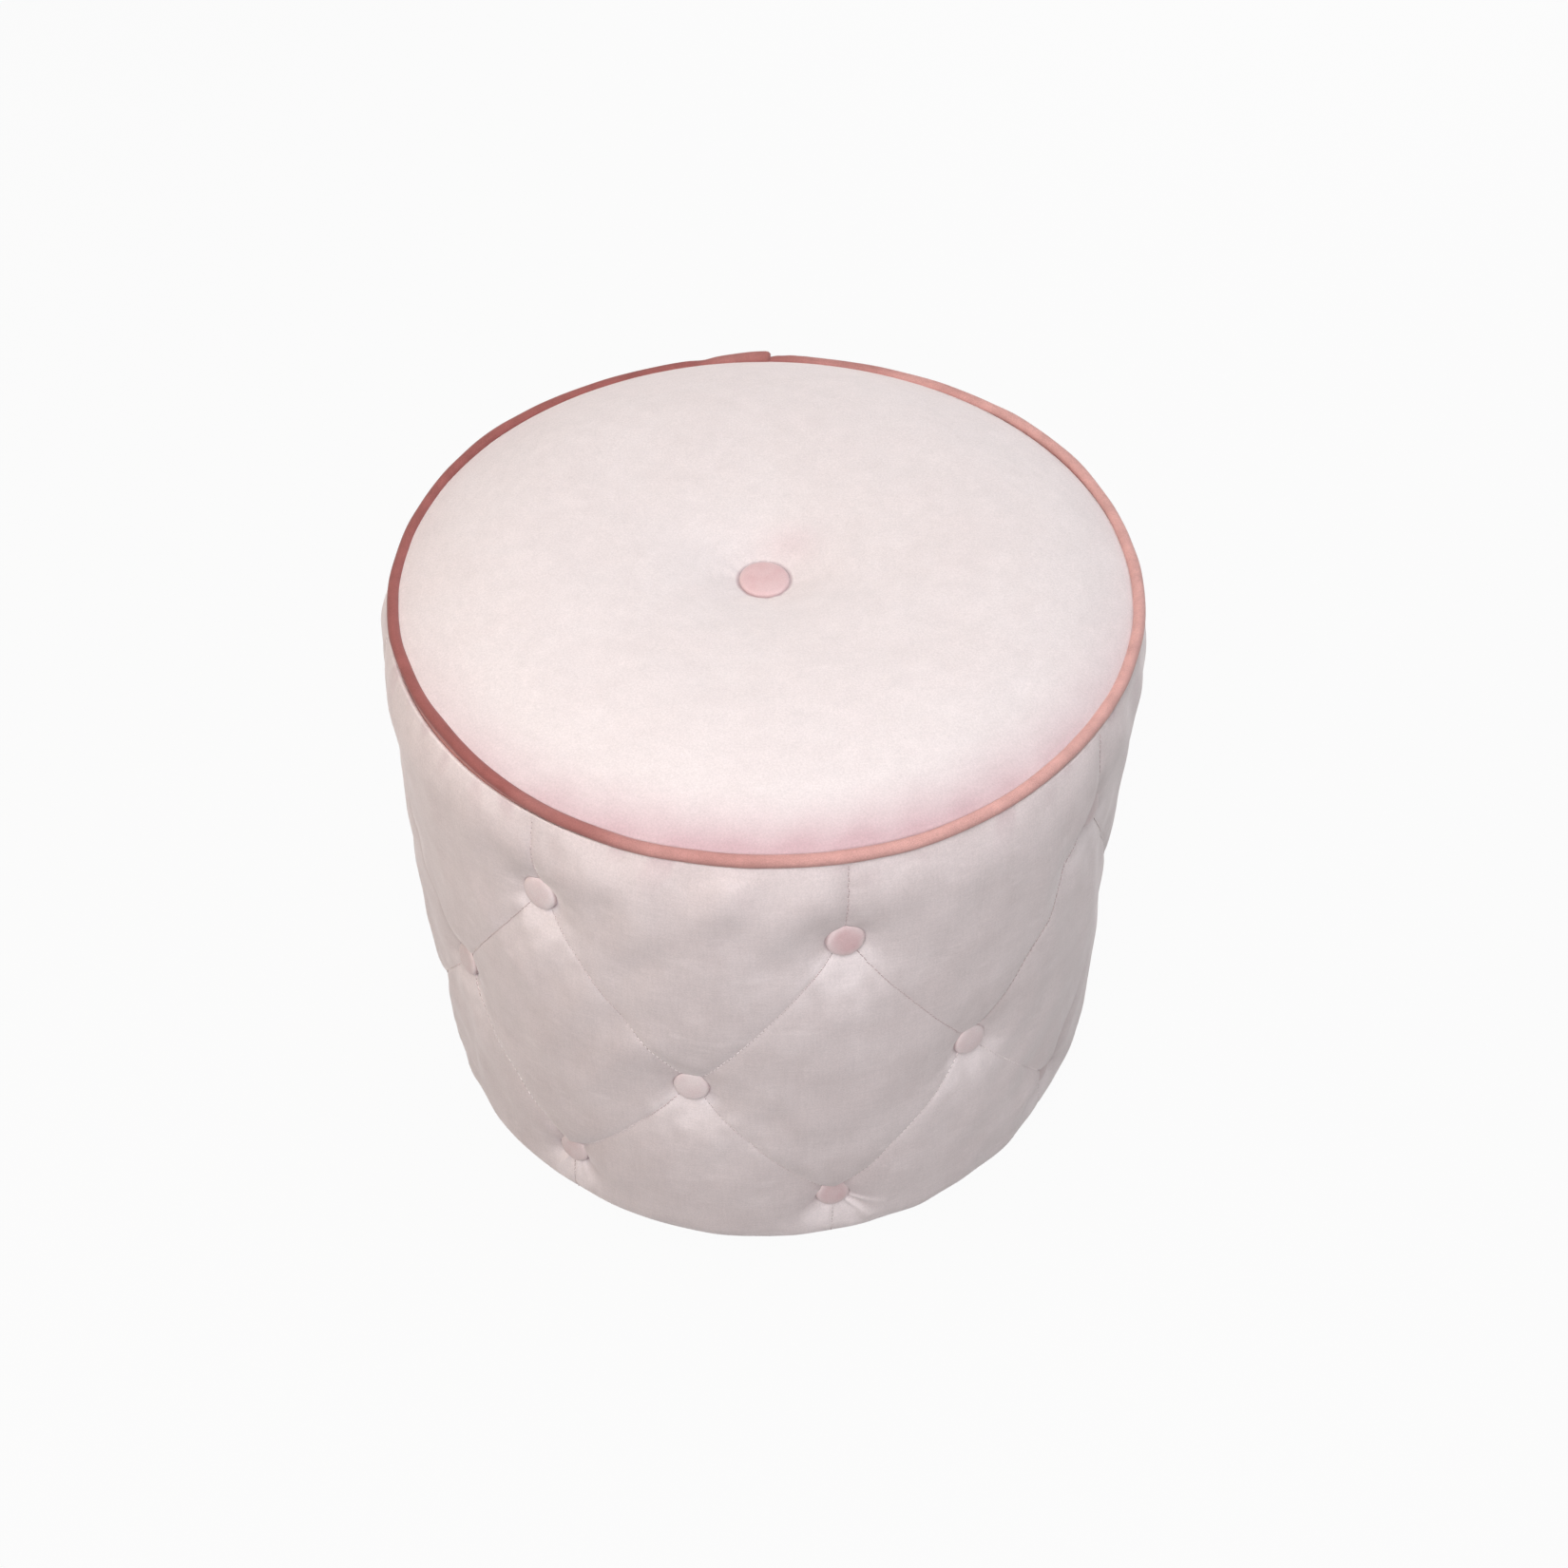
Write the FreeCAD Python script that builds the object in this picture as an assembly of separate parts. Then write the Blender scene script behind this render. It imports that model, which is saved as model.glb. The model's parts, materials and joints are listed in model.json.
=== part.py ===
import FreeCAD, Part
import math
import os

# A round upholstered pouf: a timber frame with a bent wall, foam round it and on top, a velvet cover
# quilted in diamonds and drawn in by covered buttons, and a piping bead round the seat seam.
# Millimetres and degrees. The origin is on the floor under the middle of the pouf, +Z is up,
# and the front faces -Y.

Vector = FreeCAD.Vector
UP = Vector(0, 0, 1)

# Outline of the cover
pouf_radius = 190.0            # crest of the side pillows
bottom_tuck = 7.0              # the side draws in this much at its lower edge
bottom_round = 18.0            # height over which it does so
top_round = 30.0               # height over which the side draws in to the piping
piping_inset = 8.0             # centreline of the piping bead, inside the crest of the side
piping_rise = 30.0             # piping centreline above the seat board
crown_height = 14.0            # seat crown above the piping centreline
crown_inset = 83.0             # where the crown is highest, inside the seat's edge
shoulder_inset = 29.0          # where it begins to fall steeply to the piping
shoulder_drop = 3.6            # how far below the crown that is
edge_bow = 0.05                # the fall to the piping bows out by this share of a straight line
seat_tuft_depth = 18.5         # the seat button draws the cover down this far below the crown

# Tufting of the side
columns = 8                    # buttons in each row
first_column = -33.7           # azimuth of the first upper button, from the front towards +X
tuft_depth = 9.0               # a side button draws the cover in this far
channel_depth = 1.6            # a stitched channel halfway between two buttons
channel_shape = 2.2            # how sharply a channel deepens towards its buttons
upper_row_drop = 10.4          # upper buttons below the seat board
lower_row_rise = 26.9          # lower buttons above the base board
middle_row_rise = 101.0        # middle buttons above the lower ones

# Layers
cover_thickness = 1.5
fit_gap = 0.2                  # between pieces that lie on each other
wadding_thickness = 9.0
seam_allowance = 12.0          # the turned-down edge of the seat cover
hem_lap = 4.0                  # the hem under the base board reaches this far past its staples
dust_cover_thickness = 0.8
dust_cover_lap = 5.0           # the dust cover reaches this far past its staples
side_foam_thickness = 16.3     # from the wall's staples to the crest of the side

# Frame
base_board_thickness = 12.0
seat_board_thickness = 15.0
wall_thickness = 3.0
wall_slit = 2.0                # where the two ends of the bent wall meet
post_length = 254.0
post_width = 25.0
foam_ledge_rise = 13.0         # the side foam carries the seat padding this far above the seat board
foam_top_drop = 5.0            # the side foam stops this far below the side cover's upper edge

# Piping
piping_cord_radius = 2.0
piping_sleeve = 0.9            # thickness of the velvet sleeve
piping_flange = 1.6            # the two sleeve edges sewn together
piping_flange_drop = 14.0

# Buttons, their twines and anchors
side_button_radius = 9.0
side_button_height = 6.0
seat_button_radius = 12.5
seat_button_height = 7.0
button_rim = 2.4               # straight edge of the cap before its dome
button_shell = 1.0
back_plate_thickness = 1.0
twine_radius = 0.8
twine_hole_radius = 1.1
knot_radius = 1.6
side_anchor_radius = 6.0
side_anchor_thickness = 2.5
seat_anchor_radius = 12.0
seat_anchor_thickness = 3.0

# Fasteners and feet
screw_radius = 2.0
screw_head_radius = 4.0
screw_length = 40.0
screw_spacing = 12.0           # the two screws in one end of a post
staple_crown = 10.0
staple_wire = 0.6
staple_leg = 7.0
wall_staples_per_board = 12
seam_staples = 3               # up each end of the wall, into the post behind it
seam_staple_inset = 7.0        # from the slit
cover_staple_count = 24
cover_staple_inset = 12.0      # from the base board's edge
dust_staple_count = 16
dust_staple_inset = 3.0        # from the base board's edge
glide_height = 5.0
glide_radius = 11.0
glide_edge = 1.2               # chamfer of the floor edge
glide_inset = 38.0             # from the base board's edge
glide_nail_radius = 1.2
glide_nail_length = 11.0

# Heights, from the floor up
dust_cover_top = glide_height + dust_cover_thickness
hem_bottom = dust_cover_top + staple_wire
hem_top = hem_bottom + cover_thickness
base_board_top = hem_top + base_board_thickness
seat_board_bottom = base_board_top + post_length
seat_board_top = seat_board_bottom + seat_board_thickness
piping_radius = piping_cord_radius + fit_gap / 2 + piping_sleeve
piping_height = seat_board_top + piping_rise
crown_top = piping_height + crown_height
foam_ledge = seat_board_top + foam_ledge_rise
side_top = piping_height - piping_radius - fit_gap
lower_row = base_board_top + lower_row_rise
middle_row = lower_row + middle_row_rise
upper_row = seat_board_bottom - upper_row_drop

# Radii of the side, from the outside in
tuft_radius = pouf_radius - tuft_depth
foam_inside = pouf_radius - cover_thickness - fit_gap - side_foam_thickness
staple_seat = math.sqrt((foam_inside - fit_gap / 2) ** 2 - (staple_crown / 2) ** 2) - staple_wire
wall_outside = staple_seat - fit_gap / 2
wall_inside = wall_outside - wall_thickness
board_radius = wall_inside - fit_gap / 2
dust_staple_radius = board_radius - dust_staple_inset
dust_cover_radius = dust_staple_radius + dust_cover_lap
cover_staple_radius = board_radius - cover_staple_inset
hem_inside = cover_staple_radius - hem_lap
glide_circle_radius = board_radius - glide_inset

# Radii of the seat, from the outside in
piping_circle_radius = pouf_radius - piping_inset
flange_inside = piping_circle_radius - piping_radius + fit_gap
flange_outside = flange_inside + piping_flange
top_edge_radius = flange_outside + fit_gap + cover_thickness
seat_edge_radius = piping_circle_radius - piping_radius - fit_gap
shoulder_radius = seat_edge_radius - shoulder_inset
crown_radius = seat_edge_radius - crown_inset

# Angles
pitch = 360.0 / columns
post_count = columns // 2
rows = {"upper": (upper_row, 0.0), "middle": (middle_row, 0.5), "lower": (lower_row, 0.0)}


def polar(radius, azimuth, height):
    """A point at an azimuth counted from the front, -Y, towards +X."""
    turn = math.radians(azimuth)
    return Vector(radius * math.sin(turn), -radius * math.cos(turn), height)


def column_azimuth(index, shift=0.0):
    return first_column + (index + shift) * pitch


def post_azimuth(index):
    """Posts stand halfway between neighbouring button columns, one behind every second button."""
    return first_column + pitch / 4 + 2 * pitch * index


def placed(shape, radius, azimuth, height, along):
    """The shape, made about +Z, moved to a polar place with its Z turned along the given direction."""
    moved = shape.copy()
    moved.Placement = FreeCAD.Placement(polar(radius, azimuth, height), FreeCAD.Rotation(UP, along))
    return moved


def outward(azimuth):
    return polar(1.0, azimuth, 0.0)


def tube(outer, inner, bottom, top):
    height = top - bottom
    base = Vector(0, 0, bottom)
    return Part.makeCylinder(outer, height, base).cut(Part.makeCylinder(inner, height, base))


def disc(radius, bottom, top):
    return Part.makeCylinder(radius, top - bottom, Vector(0, 0, bottom))


def revolved(edges):
    """The solid swept by a closed outline in the XZ plane about the Z axis."""
    face = Part.Face(Part.Wire(edges))
    return face.revolve(Vector(0, 0, 0), UP, 360)


def line(a, b):
    return Part.LineSegment(a, b).toShape()


def polyline(*points):
    return [line(a, b) for a, b in zip(points, points[1:])]


def at(radius, height):
    """A point of an outline in the XZ plane."""
    return Vector(radius, 0, height)


def arc(a, through, b):
    return Part.Arc(a, through, b).toShape()


# Tufted side

def crest_radius(height):
    """Radius of the pillows' crests: straight, drawn in at the top and at the lower edge."""
    top_share = max(0.0, height - (side_top - top_round)) / top_round
    bottom_share = max(0.0, hem_bottom + bottom_round - height) / bottom_round
    top_tuck = pouf_radius - top_edge_radius
    return pouf_radius - top_tuck * top_share ** 2 - bottom_tuck * bottom_share ** 2


def seat_spread():
    """Half of a button's width, as a share of half a pitch, seen from the axis."""
    return math.degrees(side_button_radius / tuft_radius) / (pitch / 2)


def channel_state(height):
    """(spread, depth) of the two channels of an upper column at a height. Spread 0 is on the column
    and 1 is on the middle row's column beside it."""
    narrow = seat_spread()
    reach = side_button_radius
    marks = [(lower_row, narrow), (middle_row, 1 - narrow), (upper_row, narrow)]
    for row_height, spread in marks:
        if abs(height - row_height) <= reach:
            return spread, tuft_depth
    if height < lower_row:
        share = (height - hem_bottom) / (lower_row - reach - hem_bottom)
        return narrow, tuft_depth * share ** channel_shape
    if height > upper_row:
        share = (side_top - height) / (side_top - upper_row - reach)
        return narrow, tuft_depth * share ** channel_shape
    low, high = (marks[0], marks[1]) if height < middle_row else (marks[1], marks[2])
    share = (height - low[0] - reach) / (high[0] - low[0] - 2 * reach)
    spread = low[1] + (high[1] - low[1]) * share
    depth = channel_depth + (tuft_depth - channel_depth) * abs(2 * share - 1) ** channel_shape
    return spread, depth


def pillow_radius(width, channel, crest):
    """Radius at the middle of a pillow that is this many degrees wide between its two channels."""
    narrow = seat_spread() * pitch
    share = (width - narrow) / (pitch - 2 * narrow)
    return channel + (crest - channel) * math.sin(math.pi / 2 * min(1.0, max(0.0, share)))


def side_section(height, inset):
    """Closed ring of arcs at a height, one arc to a pillow, meeting at the stitched channels."""
    spread, depth = channel_state(height)
    crest = crest_radius(height) - inset
    channel = crest - depth
    half = spread * pitch / 2
    edges = []
    for index in range(columns):
        azimuth = column_azimuth(index)
        for middle, reach in ((azimuth, half), (azimuth + pitch / 2, pitch / 2 - half)):
            edges.append(arc(polar(channel, middle - reach, height),
                             polar(pillow_radius(2 * reach, channel, crest), middle, height),
                             polar(channel, middle + reach, height)))
    return Part.Wire(edges)


def station_heights():
    """Heights of the side's sections: denser where a channel bends."""
    reach = side_button_radius
    marks = [hem_bottom]
    for row_height in (lower_row, middle_row, upper_row):
        marks += [row_height - reach, row_height + reach]
    marks.append(side_top)
    shares = [(0.0, 0.18, 0.36, 0.68), (0.0,), (0.0, 0.25, 0.5, 0.75), (0.0,), (0.0, 0.25, 0.5, 0.75), (0.0,),
              (0.0, 0.25, 0.5, 0.75)]
    heights = []
    for low, high, steps in zip(marks, marks[1:], shares):
        heights += [low + (high - low) * step for step in steps]
    return heights + [side_top]


def side_skin(inset, bottom, top):
    """(side faces, lower ring, upper ring) of the tufted side between two heights, taken in by inset."""
    heights = [bottom] + [h for h in station_heights() if bottom < h < top] + [top]
    sections = [side_section(h, inset) for h in heights]
    skin = Part.makeLoft(sections, False, False)
    return skin, sections[0], sections[-1]


def ring_face(outer, inner):
    return Part.makeFace([outer, inner], "Part::FaceMakerBullseye")


def circle_wire(radius, height):
    return Part.Wire(Part.Circle(Vector(0, 0, height), UP, radius).toShape())


def closed_solid(faces):
    shell = Part.makeShell(faces)
    shell.sewShape()
    solid = Part.makeSolid(shell)
    if solid.Volume < 0:
        solid.reverse()
    return solid


def twine_holes():
    """Radial drills for the twines of all three rows, from inside the wall to outside the cover."""
    start = wall_inside - wall_thickness
    drill = Part.makeCylinder(twine_hole_radius, pouf_radius - start)
    holes = []
    for height, shift in rows.values():
        for index in range(columns):
            azimuth = column_azimuth(index, shift)
            holes.append(placed(drill, start, azimuth, height, outward(azimuth)))
    return Part.makeCompound(holes)


def side_cover(drills, staples):
    outer, outer_low, outer_high = side_skin(0.0, hem_bottom, side_top)
    inner, inner_low, inner_high = side_skin(cover_thickness, hem_top, side_top)
    hem_low = circle_wire(hem_inside, hem_bottom)
    hem_high = circle_wire(hem_inside, hem_top)
    hem_edge = Part.makeLoft([hem_low, hem_high], False, True)
    faces = outer.Faces + inner.Faces + hem_edge.Faces
    faces += [ring_face(outer_low, hem_low), ring_face(inner_low, hem_high), ring_face(outer_high, inner_high)]
    return closed_solid(faces).cut(drills).cut(staples)


def side_foam(drills):
    bottom = hem_top + fit_gap
    skin, low, high = side_skin(cover_thickness + fit_gap, bottom, side_top - foam_top_drop)
    solid = closed_solid(skin.Faces + [Part.makeFace(low), Part.makeFace(high)])
    core = disc(foam_inside, bottom, foam_ledge)
    throat = disc(flange_outside + fit_gap, foam_ledge, side_top)
    return solid.cut(core).cut(throat).cut(drills)


# Seat

def crown_edges(drop, edge_radius):
    """The crown's outline from the axis to the edge, lowered by drop. Returns its edges and its last point."""
    top = crown_top - drop
    rim = seat_button_radius + fit_gap
    start = at(0, top - seat_tuft_depth)
    seat = at(rim, top - seat_tuft_depth)
    crest = at(crown_radius, top)
    shoulder = at(shoulder_radius, top - shoulder_drop)
    edge = at(edge_radius, piping_height - drop)
    # Halfway to the level crest a rounded slope has three quarters of its height
    rise = at((rim + crown_radius) / 2, top - seat_tuft_depth / 4)
    fall = at((crown_radius + shoulder_radius) / 2, top - shoulder_drop / 4)
    bow = Vector(edge_radius - shoulder_radius, 0, crown_height - shoulder_drop) * edge_bow
    turn = (shoulder + edge) * 0.5 + bow
    edges = [line(start, seat), arc(seat, rise, crest), arc(crest, fall, shoulder), arc(shoulder, turn, edge)]
    return edges, start, edge


def crown_solid(drop, edge_radius, bottom):
    """Everything under the crown, lowered by drop, down to a height and out to a radius."""
    edges, start, edge = crown_edges(drop, edge_radius)
    floor_edge = at(edge_radius, bottom)
    floor_middle = at(0, bottom)
    return revolved(edges + polyline(edge, floor_edge, floor_middle, start))


def seat_drill():
    return Part.makeCylinder(twine_hole_radius, crown_top, Vector(0, 0, 0))


def seat_cover():
    bottom = piping_height - seam_allowance
    inside = seat_edge_radius - cover_thickness
    return crown_solid(0.0, seat_edge_radius, bottom).cut(
        crown_solid(cover_thickness, inside, bottom)).cut(seat_drill())


def seat_foam():
    drop = cover_thickness + wadding_thickness + 2 * fit_gap
    return crown_solid(drop, wall_outside, seat_board_top).cut(seat_drill())


def seat_wadding():
    outer = crown_solid(cover_thickness + fit_gap, seat_edge_radius - cover_thickness - fit_gap, foam_ledge)
    drop = cover_thickness + wadding_thickness + fit_gap
    return outer.cut(crown_solid(drop, wall_outside + fit_gap, foam_ledge)).cut(seat_drill())


def piping_sleeve_ring():
    bead = Part.makeTorus(piping_circle_radius, piping_radius, Vector(0, 0, piping_height))
    bore = Part.makeTorus(piping_circle_radius, piping_cord_radius + fit_gap / 2, Vector(0, 0, piping_height))
    flange = tube(flange_outside, flange_inside, piping_height - piping_flange_drop, piping_height)
    return bead.fuse(flange).cut(bore)


def piping_cord():
    return Part.makeTorus(piping_circle_radius, piping_cord_radius, Vector(0, 0, piping_height))


# Buttons

def button_cap(radius, height):
    """Hollow cap with a spherical dome about +Z, its open rim on the XY plane."""
    def dome(inset):
        half = radius - inset
        rise = height - inset - button_rim
        sphere = (half ** 2 + rise ** 2) / (2 * rise)
        middle = half / 2
        rim = at(half, button_rim)
        top = at(0, height - inset)
        through = at(middle, height - inset - sphere + math.sqrt(sphere ** 2 - middle ** 2))
        return rim, arc(rim, through, top), top
    rim, outer, top = dome(0.0)
    inner_rim, inner, inner_top = dome(button_shell)
    return revolved([line(at(radius, 0), rim), outer, line(top, inner_top), inner,
                     line(inner_rim, at(radius - button_shell, 0)),
                     line(at(radius - button_shell, 0), at(radius, 0))])


def back_plate(radius):
    plate = Part.makeCylinder(radius - button_shell - fit_gap / 2, back_plate_thickness)
    return plate.cut(Part.makeCylinder(twine_hole_radius, back_plate_thickness))


def anchor(radius, thickness):
    """Washer about +Z, lying under the XY plane."""
    base = Vector(0, 0, -thickness)
    return Part.makeCylinder(radius, thickness, base).cut(Part.makeCylinder(twine_hole_radius, thickness, base))


def twine(length):
    """Twine about +Z from its lower knot at 0 to its upper knot at length, measured between the knots' seats."""
    cord = Part.makeCylinder(twine_radius, length + 2 * knot_radius, Vector(0, 0, -knot_radius))
    low = Part.makeSphere(knot_radius, Vector(0, 0, -knot_radius))
    high = Part.makeSphere(knot_radius, Vector(0, 0, length + knot_radius))
    return cord.fuse(low).fuse(high)


def side_buttons(nodes):
    """Each side button is a node. Its back plate, twine and anchor are grouped with those of its row."""
    cap = button_cap(side_button_radius, side_button_height)
    plate = back_plate(side_button_radius)
    washer = anchor(side_anchor_radius, side_anchor_thickness)
    washer_seat = wall_inside - fit_gap
    cap_seat = tuft_radius + fit_gap
    twine_start = washer_seat - side_anchor_thickness
    cord = twine(cap_seat + back_plate_thickness - twine_start)
    for row, (height, shift) in rows.items():
        plates, cords, washers = [], [], []
        for index in range(columns):
            azimuth = column_azimuth(index, shift)
            along = outward(azimuth)
            nodes[f"{row}_button_{index + 1}"] = placed(cap, cap_seat, azimuth, height, along)
            plates.append(placed(plate, cap_seat, azimuth, height, along))
            cords.append(placed(cord, twine_start, azimuth, height, along))
            washers.append(placed(washer, washer_seat, azimuth, height, along))
        nodes[f"{row}_button_backs"] = Part.makeCompound(plates)
        nodes[f"{row}_twines"] = Part.makeCompound(cords)
        nodes[f"{row}_anchors"] = Part.makeCompound(washers)


def seat_button(nodes):
    cap_seat = crown_top - seat_tuft_depth + fit_gap
    washer_seat = seat_board_bottom
    twine_start = washer_seat - seat_anchor_thickness
    nodes["seat_button"] = button_cap(seat_button_radius, seat_button_height).translated(Vector(0, 0, cap_seat))
    nodes["seat_button_back"] = back_plate(seat_button_radius).translated(Vector(0, 0, cap_seat))
    nodes["seat_anchor"] = anchor(seat_anchor_radius, seat_anchor_thickness).translated(Vector(0, 0, washer_seat))
    length = cap_seat + back_plate_thickness - twine_start
    nodes["seat_twine"] = twine(length).translated(Vector(0, 0, twine_start))


# Fasteners

def screw():
    """Countersunk wood screw about +Z, its head flush with the XY plane and its point below."""
    head = Part.makeCone(screw_radius, screw_head_radius, screw_head_radius - screw_radius,
                         Vector(0, 0, screw_radius - screw_head_radius))
    tip = 2 * screw_radius
    shank = Part.makeCylinder(screw_radius, screw_length - tip, Vector(0, 0, tip - screw_length))
    point = Part.makeCone(0, screw_radius, tip, Vector(0, 0, -screw_length))
    return shank.fuse(head).fuse(point).removeSplitter()


def screw_places():
    """(x, y) of the screws, two across each post."""
    places = []
    for index in range(post_count):
        azimuth = post_azimuth(index)
        across = outward(azimuth + 90) * (screw_spacing / 2)
        for side in (-1, 1):
            places.append(polar(post_middle_radius(), azimuth, 0) + across * side)
    return places


def screws(height, flipped):
    turn = FreeCAD.Rotation(Vector(1, 0, 0), 180 if flipped else 0)
    one = screw()
    group = []
    for place in screw_places():
        copy = one.copy()
        copy.Placement = FreeCAD.Placement(place + UP * height, turn)
        group.append(copy)
    return Part.makeCompound(group)


def staple():
    """Staple about +Z: its crown lies along X on the XY plane, and its legs point down."""
    half = staple_crown / 2
    wire = staple_wire
    crown = Part.makeBox(staple_crown, wire, wire, Vector(-half, -wire / 2, 0))
    legs = [Part.makeBox(wire, wire, staple_leg, Vector(x, -wire / 2, -staple_leg)) for x in (-half, half - wire)]
    return crown.fuse(legs).removeSplitter()


def staple_frame(origin, crown_along, legs_along):
    """Places the staple with its crown along one direction and its legs pointing along another."""
    z = legs_along * -1
    y = z.cross(crown_along)
    matrix = FreeCAD.Matrix(crown_along.x, y.x, z.x, origin.x, crown_along.y, y.y, z.y, origin.y,
                            crown_along.z, y.z, z.z, origin.z, 0, 0, 0, 1)
    copy = staple()
    copy.Placement = FreeCAD.Placement(matrix)
    return copy


def wall_staples():
    group = []
    board_middles = ((hem_top + base_board_top) / 2, (seat_board_bottom + seat_board_top) / 2)
    step = 360.0 / wall_staples_per_board
    for height in board_middles:
        for index in range(wall_staples_per_board):
            azimuth = slit_azimuth() + (index + 0.5) * step
            group.append(staple_frame(polar(staple_seat, azimuth, height), outward(azimuth + 90),
                                      outward(azimuth) * -1))
    turn = math.degrees(seam_staple_inset / wall_outside)
    for index in range(seam_staples):
        height = base_board_top + post_length * (index + 1) / (seam_staples + 1)
        for side in (-1, 1):
            azimuth = slit_azimuth() + side * turn
            group.append(staple_frame(polar(staple_seat, azimuth, height), UP, outward(azimuth) * -1))
    return Part.makeCompound(group)


def ring_of_staples(count, radius, height):
    """Staples driven upward, their crowns along the circle and their backs at a height."""
    group = []
    for index in range(count):
        azimuth = post_azimuth(0) + (index + 0.5) * 360.0 / count
        group.append(staple_frame(polar(radius, azimuth, height), outward(azimuth + 90), UP))
    return Part.makeCompound(group)


# Frame

def slit_azimuth():
    """The wall's two ends meet on the post nearest the back."""
    return post_azimuth(post_count // 2)


def post_middle_radius():
    """A square post stands with its outer corners just inside the wall."""
    half = post_width / 2
    return math.sqrt(board_radius ** 2 - half ** 2) - fit_gap - half


def post(index):
    half = post_width / 2
    square = Part.makeBox(post_width, post_width, post_length, Vector(-half, -half, 0))
    square.Placement = FreeCAD.Placement(polar(post_middle_radius(), post_azimuth(index), base_board_top),
                                         FreeCAD.Rotation(UP, post_azimuth(index)))
    return square


def side_wall(drills, staples):
    wall = tube(wall_outside, wall_inside, hem_top, seat_board_top)
    deep = 3 * wall_thickness
    slit = Part.makeBox(wall_slit, deep, seat_board_top - hem_top, Vector(-wall_slit / 2, -deep / 2, 0))
    slit.Placement = FreeCAD.Placement(polar(wall_outside, slit_azimuth(), hem_top),
                                       FreeCAD.Rotation(UP, slit_azimuth()))
    return wall.cut(slit).cut(drills).cut(staples)


# Feet

def glide_places():
    return [post_azimuth(index) + pitch for index in range(post_count)]


def base_glides():
    foot = Part.makeCylinder(glide_radius, glide_height)
    foot = foot.makeChamfer(glide_edge, [e for e in foot.Edges if e.BoundBox.ZMax < glide_edge])
    foot = foot.cut(Part.makeCylinder(glide_nail_radius, glide_height, Vector(0, 0, glide_height / 2)))
    return Part.makeCompound([placed(foot, glide_circle_radius, azimuth, 0, UP) for azimuth in glide_places()])


def glide_nails():
    tip = 2 * glide_nail_radius
    shank = Part.makeCylinder(glide_nail_radius, glide_nail_length - tip)
    point = Part.makeCone(glide_nail_radius, 0, tip, Vector(0, 0, glide_nail_length - tip))
    nail = shank.fuse(point).removeSplitter()
    return Part.makeCompound([placed(nail, glide_circle_radius, azimuth, glide_height / 2, UP)
                              for azimuth in glide_places()])


def build():
    nodes = {}
    drills = twine_holes()
    wall_pins = wall_staples()
    cover_pins = ring_of_staples(cover_staple_count, cover_staple_radius, hem_bottom)
    dust_pins = ring_of_staples(dust_staple_count, dust_staple_radius, glide_height)
    nails = glide_nails()
    base_screws = screws(hem_top, True)
    seat_screws = screws(seat_board_top, False)

    base = disc(board_radius, hem_top, base_board_top)
    for fasteners in (base_screws, cover_pins, dust_pins, wall_pins, nails):
        base = base.cut(fasteners)
    nodes["base_board"] = base
    seat = disc(board_radius, seat_board_bottom, seat_board_top)
    nodes["seat_board"] = seat.cut(seat_screws).cut(wall_pins).cut(seat_drill())
    for index in range(post_count):
        nodes[f"frame_post_{index + 1}"] = post(index).cut(base_screws).cut(seat_screws).cut(wall_pins)
    nodes["side_wall"] = side_wall(drills, wall_pins)
    nodes["base_board_screws"] = base_screws
    nodes["seat_board_screws"] = seat_screws
    nodes["wall_staples"] = wall_pins

    nodes["side_foam"] = side_foam(drills)
    nodes["seat_foam"] = seat_foam()
    nodes["seat_wadding"] = seat_wadding()
    nodes["side_cover"] = side_cover(drills, Part.makeCompound([cover_pins, dust_pins]))
    nodes["seat_cover"] = seat_cover()
    nodes["piping"] = piping_sleeve_ring()
    nodes["piping_cord"] = piping_cord()
    side_buttons(nodes)
    seat_button(nodes)

    dust_cover = disc(dust_cover_radius, glide_height, dust_cover_top)
    nodes["dust_cover"] = dust_cover.cut(dust_pins).cut(nails)
    nodes["cover_staples"] = cover_pins
    nodes["dust_cover_staples"] = dust_pins
    nodes["base_glides"] = base_glides()
    nodes["glide_nails"] = nails
    return nodes


def main():
    os.makedirs("parts", exist_ok=True)
    nodes = build()
    for name, shape in nodes.items():
        shape.exportStep(f"parts/{name}.step")
        solids = shape.Solids
        sound = all(s.isValid() and s.isClosed() for s in solids)
        print(f"{name}: {len(solids)} solids, {shape.Volume / 1000:.2f} cm3, {'sound' if sound else 'FAULTY'}")
    print(f"{len(nodes)} nodes, rows at {lower_row:.1f}, {middle_row:.1f} and {upper_row:.1f} mm, "
          f"piping at {piping_height:.1f} mm, crown at {crown_top:.1f} mm")


main()
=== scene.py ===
import json
import math

import bpy
import numpy as np
from mathutils import Matrix, Vector


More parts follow.
